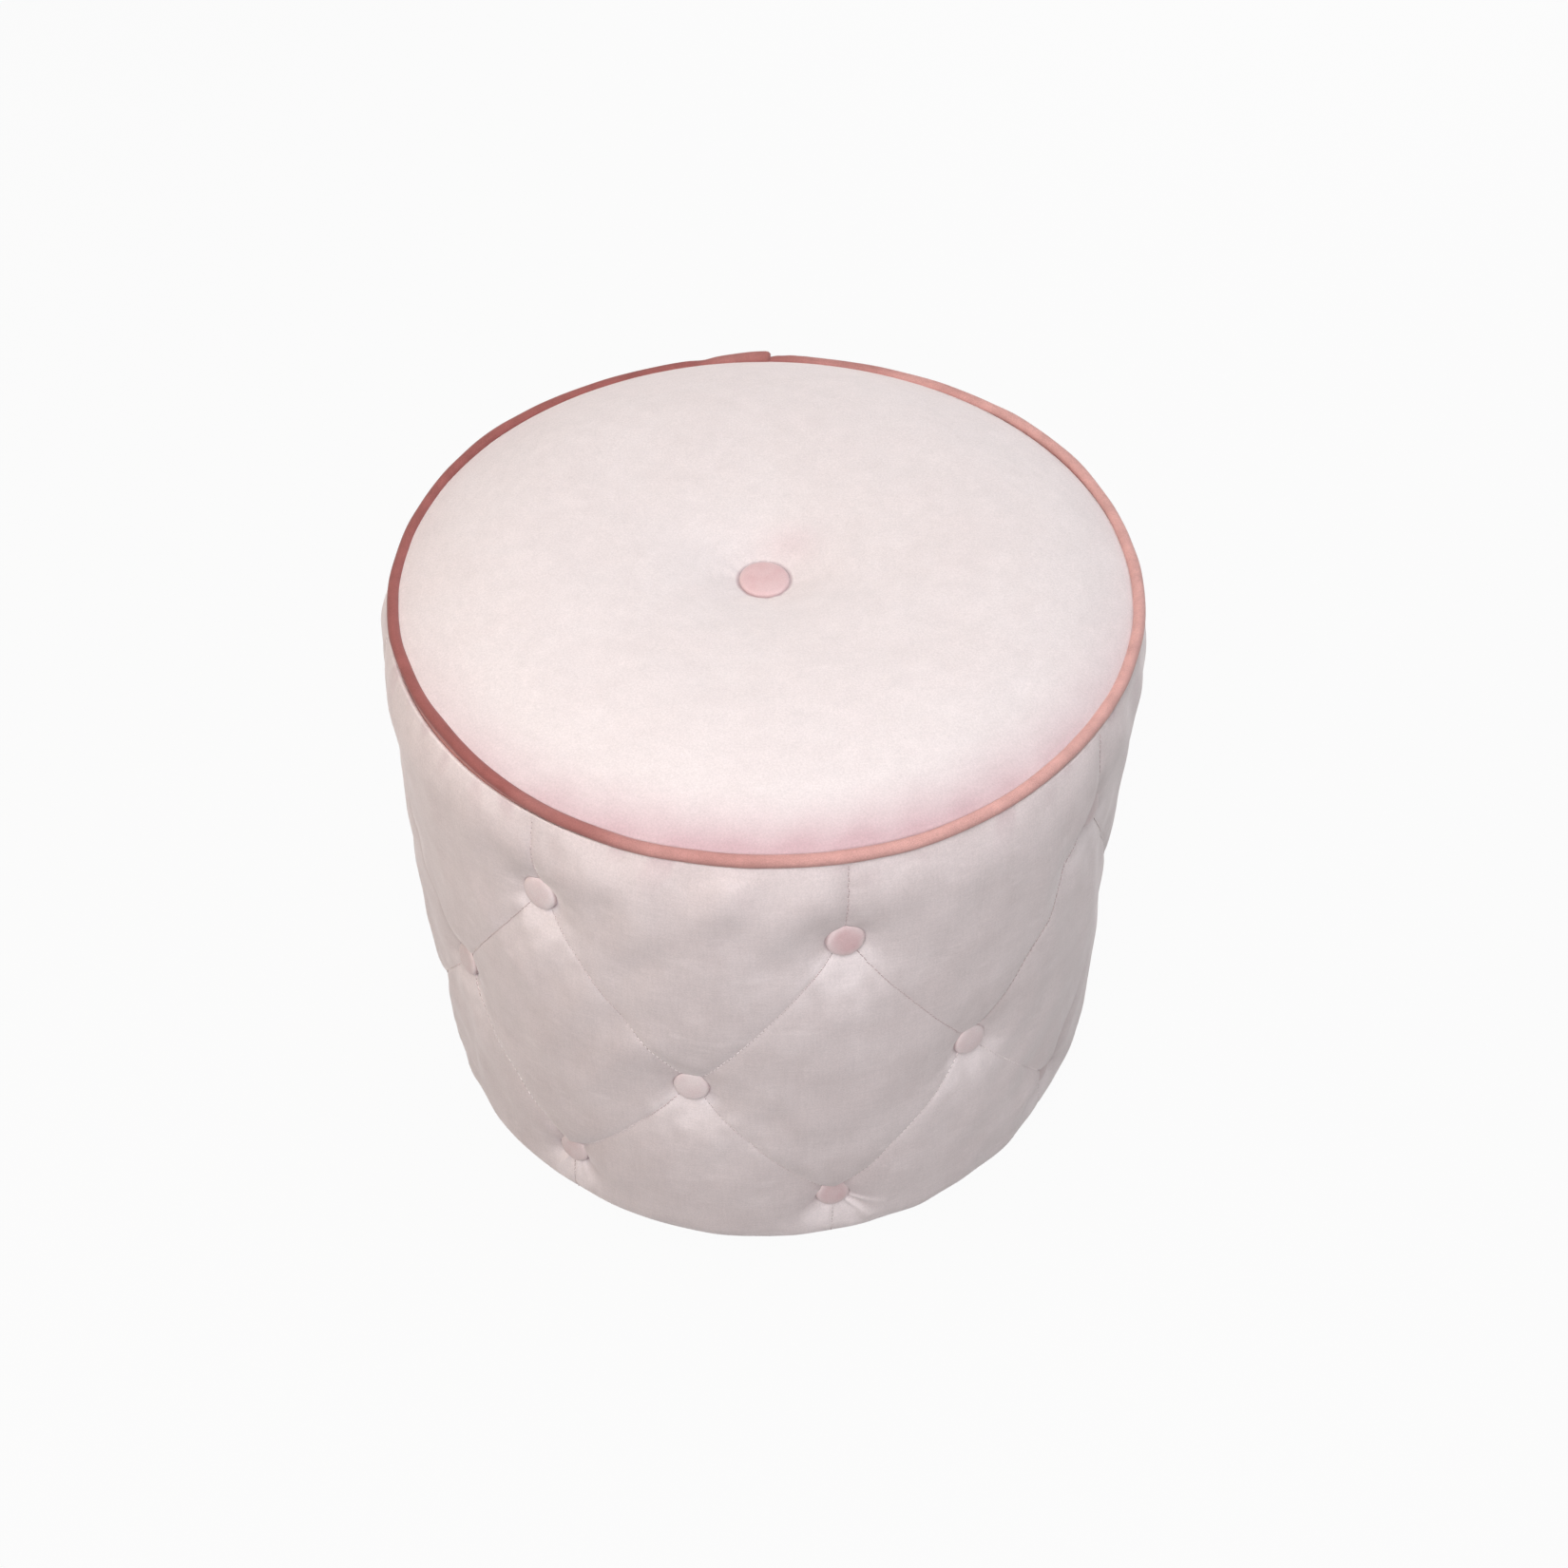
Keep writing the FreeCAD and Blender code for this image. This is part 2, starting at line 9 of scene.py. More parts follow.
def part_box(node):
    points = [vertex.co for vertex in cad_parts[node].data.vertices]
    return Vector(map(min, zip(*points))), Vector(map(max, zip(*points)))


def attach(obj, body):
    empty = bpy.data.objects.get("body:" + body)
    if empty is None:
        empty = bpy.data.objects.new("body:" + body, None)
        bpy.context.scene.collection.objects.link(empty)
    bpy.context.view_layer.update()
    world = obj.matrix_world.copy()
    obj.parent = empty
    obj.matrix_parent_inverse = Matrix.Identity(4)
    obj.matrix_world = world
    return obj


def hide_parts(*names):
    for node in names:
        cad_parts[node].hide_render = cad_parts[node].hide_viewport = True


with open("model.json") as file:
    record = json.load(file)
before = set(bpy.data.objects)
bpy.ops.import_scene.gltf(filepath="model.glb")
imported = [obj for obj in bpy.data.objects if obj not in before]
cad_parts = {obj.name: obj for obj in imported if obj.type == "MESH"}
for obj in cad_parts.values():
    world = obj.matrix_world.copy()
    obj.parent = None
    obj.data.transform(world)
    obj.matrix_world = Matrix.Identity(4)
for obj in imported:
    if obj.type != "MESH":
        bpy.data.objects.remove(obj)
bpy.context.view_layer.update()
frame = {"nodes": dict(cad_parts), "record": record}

mm = 0.001
scene = bpy.context.scene
nodes = frame["nodes"]
rng = np.random.default_rng(417)


# Places, nearly all read from the frame; azimuth 0 is the front, -Y, and grows towards +X

def boxCentre(name):
    low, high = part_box(name)
    return (low + high) / 2


columnCount = sum(name.startswith("upper_button_") and name[-1].isdigit() for name in nodes)
halfPitch = math.pi / columnCount
firstButton = boxCentre("upper_button_1")
firstColumn = math.atan2(firstButton.x, -firstButton.y)
sideLow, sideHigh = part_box("side_cover")
hemBottom, sideTop = sideLow.z, sideHigh.z
crestRadius = 190 * mm  # crest of the side pillows
upperRow = firstButton.z
middleRow = boxCentre("middle_button_1").z
lowerRow = boxCentre("lower_button_1").z
buttonLow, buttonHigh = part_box("upper_button_1")
buttonRadius = (buttonHigh.z - buttonLow.z) / 2
cordLow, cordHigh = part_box("piping_cord")
pipingHeight = (cordLow.z + cordHigh.z) / 2
cordRadius = (cordHigh.z - cordLow.z) / 2
pipingCircle = cordHigh.x - cordRadius
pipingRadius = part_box("piping")[1].x - pipingCircle
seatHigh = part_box("seat_cover")[1]
seatEdge = seatHigh.x
crownTop = seatHigh.z
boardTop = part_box("seat_board")[1].z
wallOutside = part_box("side_wall")[1].x
seatButtonLow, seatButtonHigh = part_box("seat_button")
seatButton = seatButtonHigh.x
# name, height and shift in half pitches of each row of buttons
buttonRows = (("upper", upperRow, 0), ("middle", middleRow, 1), ("lower", lowerRow, 0))
hemInside = 152 * mm  # the hem is turned under as far in as this
print(f"frame: {len(nodes)} nodes, {columnCount} columns, rows {lowerRow:.3f} {middleRow:.3f} {upperRow:.3f}")


def polar(radius, azimuth, height):
    return np.stack([radius * np.sin(azimuth), -radius * np.cos(azimuth), height + 0 * azimuth], axis=-1)


def azimuths(points):
    return np.arctan2(points[..., 0], -points[..., 1])


def fullTurn(count):
    return np.arange(count) * 2 * math.pi / count


def unit(values):
    return np.clip(values, 0, 1)


def bell(values, width):
    return np.exp(-(values / width) ** 2)


def decay(values, length):
    return np.exp(-np.maximum(values, 0) / length)


def turnFrom(azimuth, place, half=math.pi):
    # signed turn from a place, wrapped to half a round each way
    return np.mod(azimuth - place + half, 2 * half) - half


# Mesh helpers

def meshPiece(name, points, faces, smooth=True):
    mesh = bpy.data.meshes.new(name)
    mesh.from_pydata([tuple(p) for p in points], [], [tuple(f) for f in faces])
    mesh.validate()
    if smooth:
        mesh.shade_smooth()
    piece = bpy.data.objects.new(name, mesh)
    scene.collection.objects.link(piece)
    return piece


def gridFaces(rows, columns, start=0, flip=False):
    # quads of a grid whose points run row by row, closed round its columns
    r, c = np.meshgrid(np.arange(rows - 1), np.arange(columns), indexing="ij")
    right = (c + 1) % columns
    here, above = r * columns, (r + 1) * columns
    quads = np.stack([here + c, here + right, above + right, above + c], axis=-1).reshape(-1, 4) + start
    return quads[:, ::-1] if flip else quads


def unitVectors(vectors):
    return vectors / np.linalg.norm(vectors, axis=-1, keepdims=True)


def gridNormals(points):
    # points[row, column, xyz], closed round the columns
    across = np.roll(points, -1, axis=1) - np.roll(points, 1, axis=1)
    along = np.gradient(points, axis=0)
    return unitVectors(np.cross(across, along))


def refine(points):
    # twice the rows and columns, by cubic interpolation, closed round the columns
    a, b, c, d = (np.roll(points, k, axis=1) for k in (1, 0, -1, -2))
    wide = np.empty((points.shape[0], points.shape[1] * 2, 3))
    wide[:, 0::2] = points
    wide[:, 1::2] = (-a + 9 * b + 9 * c - d) / 16
    padded = np.concatenate([2 * wide[:1] - wide[1:2], wide, 2 * wide[-1:] - wide[-2:-1]])
    tall = np.empty((wide.shape[0] * 2 - 1, wide.shape[1], 3))
    tall[0::2] = wide
    tall[1::2] = (-padded[:-3] + 9 * padded[1:-2] + 9 * padded[2:-1] - padded[3:]) / 16
    return tall


def waves(azimuth, height, count, perTurn, perMetre, seed):
    # gentle irregular field of about unit size that closes round the pouf
    draw = np.random.default_rng(seed)
    field = 0 * azimuth
    for _ in range(count):
        turns = int(draw.integers(perTurn[0], perTurn[1] + 1))
        rise = draw.uniform(-perMetre, perMetre) * 2 * math.pi
        field = field + np.sin(turns * azimuth + rise * height + draw.uniform(0, 2 * math.pi))
    return field * math.sqrt(2 / count)


def dressPiece(piece, material, slot, *replaced):
    piece.data.materials.append(material)
    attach(piece, "root")
    if replaced:
        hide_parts(*replaced)


def setAttribute(piece, name, values):
    layer = piece.data.attributes.new(name, "FLOAT", "POINT")
    layer.data.foreach_set("value", np.asarray(values, np.float32).ravel())


# Camera

photoCamera = {
    "frame": 1650,  # pixels across the photograph
    "focalPixels": 2033.6,
    "targetPixel": (804.2, 830.7),  # where the middle of the pouf falls in the picture
    "targetHeight": 165.6 * mm,
    "distance": 1.0561,
    "elevation": 47.62,  # degrees
    "sensor": 36,
}


def makeCamera(cfg):
    data = bpy.data.cameras.new("photoCamera")
    data.sensor_width = cfg["sensor"]
    data.lens = cfg["focalPixels"] / cfg["frame"] * cfg["sensor"]
    data.shift_x = (cfg["frame"] / 2 - cfg["targetPixel"][0]) / cfg["frame"]
    data.shift_y = (cfg["targetPixel"][1] - cfg["frame"] / 2) / cfg["frame"]
    camera = bpy.data.objects.new("photoCamera", data)
    scene.collection.objects.link(camera)
    tilt = math.radians(cfg["elevation"])
    back = Vector((0, -math.cos(tilt), math.sin(tilt)))
    camera.location = Vector((0, 0, cfg["targetHeight"])) + back * cfg["distance"]
    camera.rotation_euler = (-back).to_track_quat("-Z", "Y").to_euler()
    scene.camera = camera


makeCamera(photoCamera)
print("camera set")


# Materials

class Finish:
    # a small helper round one node material
    def __init__(self, name):
        self.material = bpy.data.materials.new(name)
        self.material.use_nodes = True
        self.tree = self.material.node_tree
        self.shader = self.tree.nodes["Principled BSDF"]
        self.coords = self.tree.nodes.new("ShaderNodeTexCoord")

    def put(self, **values):
        for socket, value in values.items():
            self.shader.inputs[socket.replace("_", " ")].default_value = value

    def node(self, kind, links=(), **values):
        made = self.tree.nodes.new("ShaderNode" + kind)
        for key, value in values.items():
            if hasattr(made, key):
                setattr(made, key, value)
            else:
                made.inputs[key.replace("_", " ")].default_value = value
        for socket, source in dict(links).items():
            self.tree.links.new(source, made.inputs[socket])
        return made

    def noise(self, scale, detail, rough, stretchAndPaintedLight=(1, 1, 1)):
        place = self.node("Mapping", {"Vector": self.coords.outputs["Object"]}, Scale=stretchAndPaintedLight)
        return self.node("TexNoise", {"Vector": place.outputs["Vector"]}, Scale=scale, Detail=detail,
                         Roughness=rough).outputs["Fac"]

    def ramp(self, source, low, high, lowValue=0.0, highValue=1.0):
        return self.node("MapRange", {"Value": source}, clamp=True, From_Min=low, From_Max=high,
                         To_Min=lowValue, To_Max=highValue).outputs["Result"]

    def attribute(self, name):
        return self.node("Attribute", attribute_name=name).outputs["Fac"]

    def feed(self, socket, value):
        # a link from another node, a number or a colour
        if isinstance(value, bpy.types.NodeSocket):
            self.tree.links.new(value, socket)
        else:
            socket.default_value = value if isinstance(value, (int, float)) else (*value, 1)

    def math(self, operation, *values):
        made = self.node("Math", operation=operation)
        for socket, value in zip(made.inputs, values):
            self.feed(socket, value)
        return made.outputs["Value"]

    def mixColour(self, share, a, b, blend="MIX"):
        made = self.node("Mix", data_type="RGBA", blend_type=blend)
        for index, value in ((0, share), (6, a), (7, b)):
            self.feed(made.inputs[index], value)
        return made.outputs[2]

    def bump(self, source, distance, strength):
        made = self.node("Bump", {"Height": source}, Strength=strength, Distance=distance)
        self.tree.links.new(made.outputs["Normal"], self.shader.inputs["Normal"])

    def grained(self, lay, grain):
        grey = self.node("CombineColor", {"Red": grain, "Green": grain, "Blue": grain}).outputs["Color"]
        self.colour(self.mixColour(1.0, lay, grey, "MULTIPLY"))

    def velvet(self, sheen, sheenRoughness, tint, roughness):
        self.put(Roughness=roughness, Specular_IOR_Level=0.15, Sheen_Weight=sheen,
                 Sheen_Roughness=sheenRoughness, Sheen_Tint=(*tint, 1))

    def colour(self, source):
        self.tree.links.new(source, self.shader.inputs["Base Color"])

    def rough(self, source):
        self.tree.links.new(source, self.shader.inputs["Roughness"])


blushVelvet = {
    "pale": (0.80, 0.71, 0.715),  # pile lying flat
    "deep": (0.58, 0.42, 0.455),  # pile opened or brushed the other way, and at the seat's front partly painted light: the sheen lost where the edge faces the front
    "shade": (0.68, 0.585, 0.585),
    "paleMarksAndHighlight": (0.96, 0.865, 0.875),  # pale brush marks, and the painted highlight below a button
    "paintedShadeAbove": (0.62, 0.53, 0.53),  # painted shade above a button
    "rim": (0.40, 0.28, 0.31),  # painted crease shadow where a button meets the cover
    "patches": 26,  # brushed patches to a metre
    "patchShare": 0.46,
    "streaks": 60,
    "streakShare": 0.26,
    "strokeShare": 0.24,
    "marks": 130,  # short pale brush marks
    "pile": 1200,  # fibres to a metre in the bump
    "weave": 800,  # threads to a metre that show through the pile
    "sheen": 0.55,
    "sheenTint": (1.0, 0.95, 0.95),
    "pileHeight": 0.25 * mm,
}


def makeBlushVelvet(name, cfg):
    made = Finish(name)
    patches = made.ramp(made.noise(cfg["patches"], 5, 0.6), 0.38, 0.66)
    streaks = made.ramp(made.noise(cfg["streaks"], 4, 0.65, (1, 1, 0.25)), 0.45, 0.72)
    strokes = made.ramp(made.noise(cfg["streaks"], 3, 0.6, (0.35, 0.9, 1.2)), 0.5, 0.72)
    pile = made.noise(cfg["pile"], 3, 0.7)
    lay = made.mixColour(made.math("MULTIPLY", patches, cfg["patchShare"]), cfg["pale"], cfg["shade"])
    lay = made.mixColour(made.math("MULTIPLY", streaks, cfg["streakShare"]), lay, cfg["paleMarksAndHighlight"])
    lay = made.mixColour(made.math("MULTIPLY", strokes, cfg["strokeShare"]), lay, cfg["shade"])
    marks = made.ramp(made.noise(cfg["marks"], 2, 0.5, (0.3, 0.8, 0.9)), 0.62, 0.72)
    lay = made.mixColour(made.math("MULTIPLY", marks, cfg["strokeShare"]), lay, cfg["paleMarksAndHighlight"])
    lay = made.mixColour(made.attribute("blush"), lay, cfg["deep"])
    # painted light: brighter on the dents below the buttons and on fold ridges, duller where the cover above
    # the buttons lies in painted shade
    stretchAndPaintedLight = made.attribute("stretchAndPaintedLight")
    lay = made.mixColour(made.ramp(stretchAndPaintedLight, 0, 1), lay, cfg["paleMarksAndHighlight"])
    lay = made.mixColour(made.ramp(stretchAndPaintedLight, 0, -1), lay, cfg["paintedShadeAbove"])
    lay = made.mixColour(made.attribute("creaseShadow"), lay, cfg["rim"])
    upright = made.ramp(made.noise(cfg["weave"], 2, 0.5, (1, 1, 0.10)), 0.3, 0.7, 0.978, 1.02)
    level = made.ramp(made.noise(cfg["weave"], 2, 0.5, (0.12, 0.12, 1)), 0.3, 0.7, 0.978, 1.02)
    weave = made.math("MULTIPLY", upright, level)
    made.grained(lay, made.math("MULTIPLY", made.ramp(pile, 0.3, 0.7, 0.91, 1.07), weave))
    made.bump(pile, cfg["pileHeight"], 0.5)
    made.velvet(cfg["sheen"], 0.45, cfg["sheenTint"], 0.92)
    return made.material


roseVelvet = {
    "light": (0.70, 0.405, 0.375),  # pile towards the light
    "dark": (0.33, 0.115, 0.107),  # pile away from it
    "pile": 1700,
    "sheen": 0.35,
    "sheenTint": (1.0, 0.85, 0.83),
    "pileHeight": 0.2 * mm,
}


def makeRoseVelvet(cfg):
    made = Finish("roseVelvet")
    lay = made.mixColour(made.attribute("nap"), cfg["dark"], cfg["light"])
    patches = made.ramp(made.noise(90, 3, 0.6), 0.3, 0.75, 0.86, 1.08)
    pile = made.noise(cfg["pile"], 2, 0.7)
    made.grained(lay, made.math("MULTIPLY", patches, made.ramp(pile, 0.3, 0.7, 0.86, 1.1)))
    made.bump(pile, cfg["pileHeight"], 0.5)
    made.velvet(cfg["sheen"], 0.4, cfg["sheenTint"], 0.9)
    return made.material


buttonVelvet = {
    "pale": (0.80, 0.71, 0.715),
    "deep": (0.65, 0.44, 0.455),
    "rim": (0.40, 0.27, 0.285),  # painted crease shadow where the button meets the cover
    "pile": 1700,
    "patchShare": 0.25,
    "sheen": 0.6,
    "sheenTint": (1.0, 0.93, 0.93),
    "pileHeight": 0.2 * mm,
}


def makeButtonVelvet(cfg):
    made = Finish("buttonVelvet")
    patches = made.ramp(made.noise(120, 3, 0.55), 0.35, 0.68)
    pile = made.noise(cfg["pile"], 2, 0.7)
    share = made.math("ADD", made.attribute("blush"), made.math("MULTIPLY", patches, cfg["patchShare"]))
    lay = made.mixColour(share, cfg["pale"], cfg["deep"])
    lay = made.mixColour(made.attribute("creaseShadow"), lay, cfg["rim"])
    made.grained(lay, made.ramp(pile, 0.3, 0.7, 0.92, 1.06))
    made.bump(pile, cfg["pileHeight"], 0.4)
    made.velvet(cfg["sheen"], 0.4, cfg["sheenTint"], 0.9)
    return made.material


def makeThread():
    made = Finish("quiltingThread")
    twist = made.noise(2600, 2, 0.6)
    tone = made.ramp(made.noise(9, 2, 0.5), 0.42, 0.58)
    pale = made.mixColour(tone, (0.58, 0.46, 0.47), (0.93, 0.86, 0.86))
    made.colour(made.mixColour(made.ramp(twist, 0.3, 0.7, 0, 0.3), pale, (0.62, 0.50, 0.50)))
    made.bump(twist, 0.1 * mm, 0.5)
    made.put(Roughness=0.7, Sheen_Weight=0.2)
    return made.material


def makeWood(name, light, dark, rings, stretchAndPaintedLight):
    made = Finish(name)
    grain = made.noise(rings, 6, 0.65, stretchAndPaintedLight)
    flecks = made.ramp(made.noise(rings * 9, 2, 0.6, stretchAndPaintedLight), 0.5, 0.75)
    lay = made.mixColour(made.ramp(grain, 0.3, 0.72), light, dark)
    made.colour(made.mixColour(made.math("MULTIPLY", flecks, 0.35), lay, dark))
    made.bump(grain, 0.4 * mm, 0.4)
    made.rough(made.ramp(grain, 0.3, 0.7, 0.55, 0.75))
    return made.material


def makeSpeckled(name, base, speck, scale, roughness, height, metallic, sheen):
    made = Finish(name)
    grain = made.noise(scale, 4, 0.65)
    made.colour(made.mixColour(made.ramp(grain, 0.38, 0.66), base, speck))
    made.bump(grain, height * mm, 0.5)
    made.rough(made.ramp(grain, 0.3, 0.7, roughness - 0.08, roughness + 0.08))
    made.put(Metallic=metallic, Sheen_Weight=sheen)
    return made.material


finishes = {
    "blush_velvet": makeBlushVelvet("blushVelvet", blushVelvet),
    "rose_velvet": makeRoseVelvet(roseVelvet),
    "button_velvet": makeButtonVelvet(buttonVelvet),
    "plywood": makeWood("rawPlywood", (0.62, 0.45, 0.28), (0.40, 0.26, 0.14), 30, (1, 0.15, 3)),
    "pine": makeWood("planedPine", (0.70, 0.51, 0.30), (0.48, 0.30, 0.15), 40, (1, 1, 0.06)),
}
speckled = {  # slot: name, colour, speckles, specks to a metre, roughness, height in mm, metal, sheen
    "hardboard": ("bentHardboard", (0.28, 0.17, 0.10), (0.20, 0.12, 0.07), 500, 0.62, 0.1, 0, 0),
    "fastener_steel": ("zincSteel", (0.62, 0.62, 0.60), (0.50, 0.50, 0.49), 900, 0.34, 0.03, 1, 0),
    "button_steel": ("platedSteel", (0.66, 0.66, 0.65), (0.55, 0.55, 0.55), 700, 0.30, 0.02, 1, 0),
    "cotton_cord": ("cottonCord", (0.80, 0.75, 0.66), (0.66, 0.60, 0.50), 1400, 0.85, 0.2, 0, 0.2),
    "anchor_nylon": ("mouldedNylon", (0.84, 0.84, 0.81), (0.78, 0.78, 0.75), 300, 0.42, 0.03, 0, 0),
    "black_nonwoven": ("blackNonwoven", (0.012, 0.012, 0.013), (0.045, 0.045, 0.047), 900, 0.9, 0.25, 0, 0.1),
    "glide_plastic": ("blackGlide", (0.02, 0.02, 0.021), (0.035, 0.035, 0.036), 600, 0.45, 0.04, 0, 0),
}
for slot, facts in speckled.items():
    finishes[slot] = makeSpeckled(*facts)
# the seat is brushed evenly
seatBrushing = {"pale": (0.755, 0.70, 0.708), "patchShare": 0.14, "streakShare": 0.12, "strokeShare": 0.06}
seatVelvet = makeBlushVelvet("seatVelvet", {**blushVelvet, **seatBrushing})
thread = makeThread()
# a dark speckled finish, painted as the shade in the needle holes
needleHoleShade = makeSpeckled("needleHoleShade", (0.30, 0.20, 0.20), (0.22, 0.14, 0.145), 1500, 0.92, 0.1, 0, 0)
for subpart in frame["record"]["subparts"]:
    finish = finishes.get(subpart["material_slot"])
    if finish is not None:
        cadMesh = nodes[subpart["node"]].data
        cadMesh.materials.clear()
        cadMesh.materials.append(finish)
print(f"materials: {len(finishes) + 3} finishes")


# Soft shapes settle as cloth

velvetCloth = {
    "quality": 5,
    "mass": 0.3,
    "tension_stiffness": 15,
    "compression_stiffness": 15,
    "shear_stiffness": 5,
    "bending_stiffness": 3,
    "use_pressure": True,
}


def settleCloth(name, points, quads, held, cfg):
    # returns the points of a cloth shell after it swells a little between its held points
    shell = meshPiece(name, points, quads)
    shell.vertex_groups.new(name="held").add(np.nonzero(held)[0].tolist(), 1.0, "REPLACE")
    cloth = shell.modifiers.new("settle", "CLOTH")
    settings = cloth.settings
    for key, value in velvetCloth.items():
        setattr(settings, key, value)
    settings.uniform_pressure_force = cfg["pressure"]
    settings.shrink_min = -cfg["slack"]
    settings.vertex_group_mass = "held"
    settings.effector_weights.gravity = 0
    cloth.collision_settings.use_collision = False
    cloth.point_cache.frame_start = 1
    cloth.point_cache.frame_end = cfg["frames"]
    for step in range(1, cfg["frames"] + 1):
        scene.frame_set(step)
    settled = shell.evaluated_get(bpy.context.evaluated_depsgraph_get()).to_mesh()
    out = np.empty(len(points) * 3)
    settled.vertices.foreach_get("co", out)
    bpy.data.objects.remove(shell)
    scene.frame_set(1)
    out = out.reshape(-1, 3)
    moved = out - points
    far = np.linalg.norm(moved, axis=1, keepdims=True)
    print(f"{name}: cloth moved {far.mean() / mm:.2f} mm on average, {far.max() / mm:.2f} mm at most")
    return points + moved * np.minimum(1, cfg["reach"] / np.maximum(far, 1e-9))


# Tufted side

sidePad = {
    "columns": 24,  # cloth columns from one stitch crossing to the next
    "rowsBelow": 9,
    "rowsAbove": 13,
    "tuftDepth": 9.0 * mm,
    "floor": 3.2 * mm,  # radius of a dent's flat floor, under its button
    "lowerExtra": 0.5 * mm,  # the lower buttons sit deeper by this much
    "lowerReach": 25 * mm,  # and the cover round them, as far as this
    "dent": 11.5 * mm,  # how far a dent spreads above its button
    "dentBelow": 21 * mm,  # and below it, between the stitch lines
    "dentShape": 1.6,
    "dentFade": 14 * mm,  # the dents fade out this near the upper and lower edges
    "lineDent": 17 * mm,  # how far it spreads along them
    "overhang": 3.2 * mm,  # how far a dent spreads above a lower button
    "lip": 3.5 * mm,  # so far down the pillow above covers such a button
    "lineDepth": 1.3 * mm,
    "lineWidth": 7 * mm,
    "lineShape": 1.2,
    "crease": 0.40 * mm,  # sharp groove that the thread pulls
    "creaseWidth": 1.1 * mm,
    "topTuck": 7.5 * mm,
    "topRound": 30 * mm,
    "bottomTuck": 7 * mm,
    "bottomRound": 18 * mm,
    "unevenness": 0.35 * mm,
    "ripples": (24, (6, 40), 26, 11),  # waves, per turn, per metre, seed
    "pucker": 0.7 * mm,  # size of a pulled fold beside a button
    "puckerRows": {"upper": (0.35, 3), "middle": (0.35, 3), "lower": (1.0, 5)},  # strength and count
    "puckerReach": 32 * mm,
    "puckerStart": 2 * mm,
    "puckerFan": 0.55,  # spread of the bearings below a lower button, in radians
    "puckerLength": (6, 13),  # mm
    "puckerWidth": (0.10, 0.2),  # radians
    "puckerSizes": (0.5, 1.1),
    "pulls": [  # (row, column, bearing from straight down, mm long, width, mm out)
        ("lower", 1, 0.72, 17, 0.08, 1.6), ("lower", 1, 0.94, 12, 0.08, -1.0),
        ("lower", 1, 1.16, 16, 0.08, 1.5), ("lower", 0, -0.40, 13, 0.12, 1.0),
        ("lower", 0, 0.05, 15, 0.10, 1.0), ("lower", 0, 0.45, 12, 0.12, 0.9),
        ("middle", 7, 0.60, 12, 0.14, 0.9), ("middle", 0, 0.25, 16, 0.20, 0.6),
        ("upper", 1, -0.2, 18, 0.2, 0.5), ("lower", 4, -0.6, 13, 0.11, 1.1),
        ("lower", 6, 0.7, 13, 0.11, 1.0), ("middle", 4, -0.4, 14, 0.15, 0.7),
    ],
    "foldRoom": 14 * mm,  # folds fade out this near a button
    "foldFade": 10 * mm,  # and this near the upper and lower edges
    "leanDegrees": 30,  # a lean of 1 turns a fold's end this far
    "folds": [  # (azimuth, height, degrees across, mm up, lean, mm out) of soft folds
        (-66, 75, 2.2, 42, 0.10, 1.1), (-58, 60, 1.6, 34, 0.05, -0.8), (-73, 120, 2.0, 40, -0.06, 0.8),
        (-52, 245, 2.6, 34, 0.05, -0.8), (45, 235, 2.2, 60, -0.20, 1.8), (50, 250, 2.2, 52, -0.16, -2.0),
        (61, 190, 2.6, 60, -0.05, 1.6), (31, 205, 2.2, 40, -0.2, -0.9), (-19, 235, 3.0, 30, 0.2, -0.5),
        (117, 120, 2.4, 50, 0.1, 0.9), (152, 210, 2.4, 50, -0.1, -0.9), (-128, 190, 2.4, 55, 0.1, 0.9),
        (-160, 90, 2.0, 40, -0.1, -0.8), (75, 235, 24, 75, 0, -3.2), (-64, 48, 16, 42, 0, -2.6),
    ],
    "laps": [  # the same for pillow edges that lap over a button
        (52.2, 270, 2.7, 19, 0.1, 3.7), (52.4, 56, 2.5, 14, 0.1, 2.8),
    ],
    "lapRoom": 4 * mm,
    "lapBack": 3.4,  # so many times wider on the pillow's side of its edge
    "heldLine": 0.4 * mm,  # the cloth is held this near a stitch line
    "heldButton": 0.8,  # and within this share of a button's radius
    "calm": 3,  # times the settled cloth is evened out
    "cloth": {"pressure": 6, "slack": 0.001, "frames": 12, "reach": 4 * mm},
    "throatInset": 1 * mm,  # the lining, from the upper edge inwards
    "liningGap": 0.9 * mm,
    "ledgeRise": 13 * mm,
    "hemThickness": 1.4 * mm,
    "hemRoll": 5 * mm,
    "liningStep": 60 * mm,
    "pipingBlush": (9 * mm, 0.4, 0.4),  # reach, least speckle and strength of the blush below the piping
    "lowerBlush": (16 * mm, 0.3),  # reach and strength of the blush by the lower buttons
    "speckle": (30, (8, 60), 30, 5),
    "pullPaintedLight": 0.9 / mm,  # painted highlight on a pulled fold's ridge and painted shade where it dips, per metre of lift
}


def sideCrest(height, cfg):
    top = np.clip((height - (sideTop - cfg["topRound"])) / cfg["topRound"], 0, None)
    bottom = np.clip((hemBottom + cfg["bottomRound"] - height) / cfg["bottomRound"], 0, None)
    return crestRadius - cfg["topTuck"] * top ** 2 - cfg["bottomTuck"] * bottom ** 2


def segmentDistance(x, y, a, b):
    # distance to the segment a-b, and how far along it the nearest point lies from its nearer end
    ax, ay, dx, dy = a[0], a[1], b[0] - a[0], b[1] - a[1]
    length = math.hypot(dx, dy)
    share = unit(((x - ax) * dx + (y - ay) * dy) / length ** 2)
    distance = np.hypot(x - ax - share * dx, y - ay - share * dy)
    return distance, share * length, (1 - share) * length


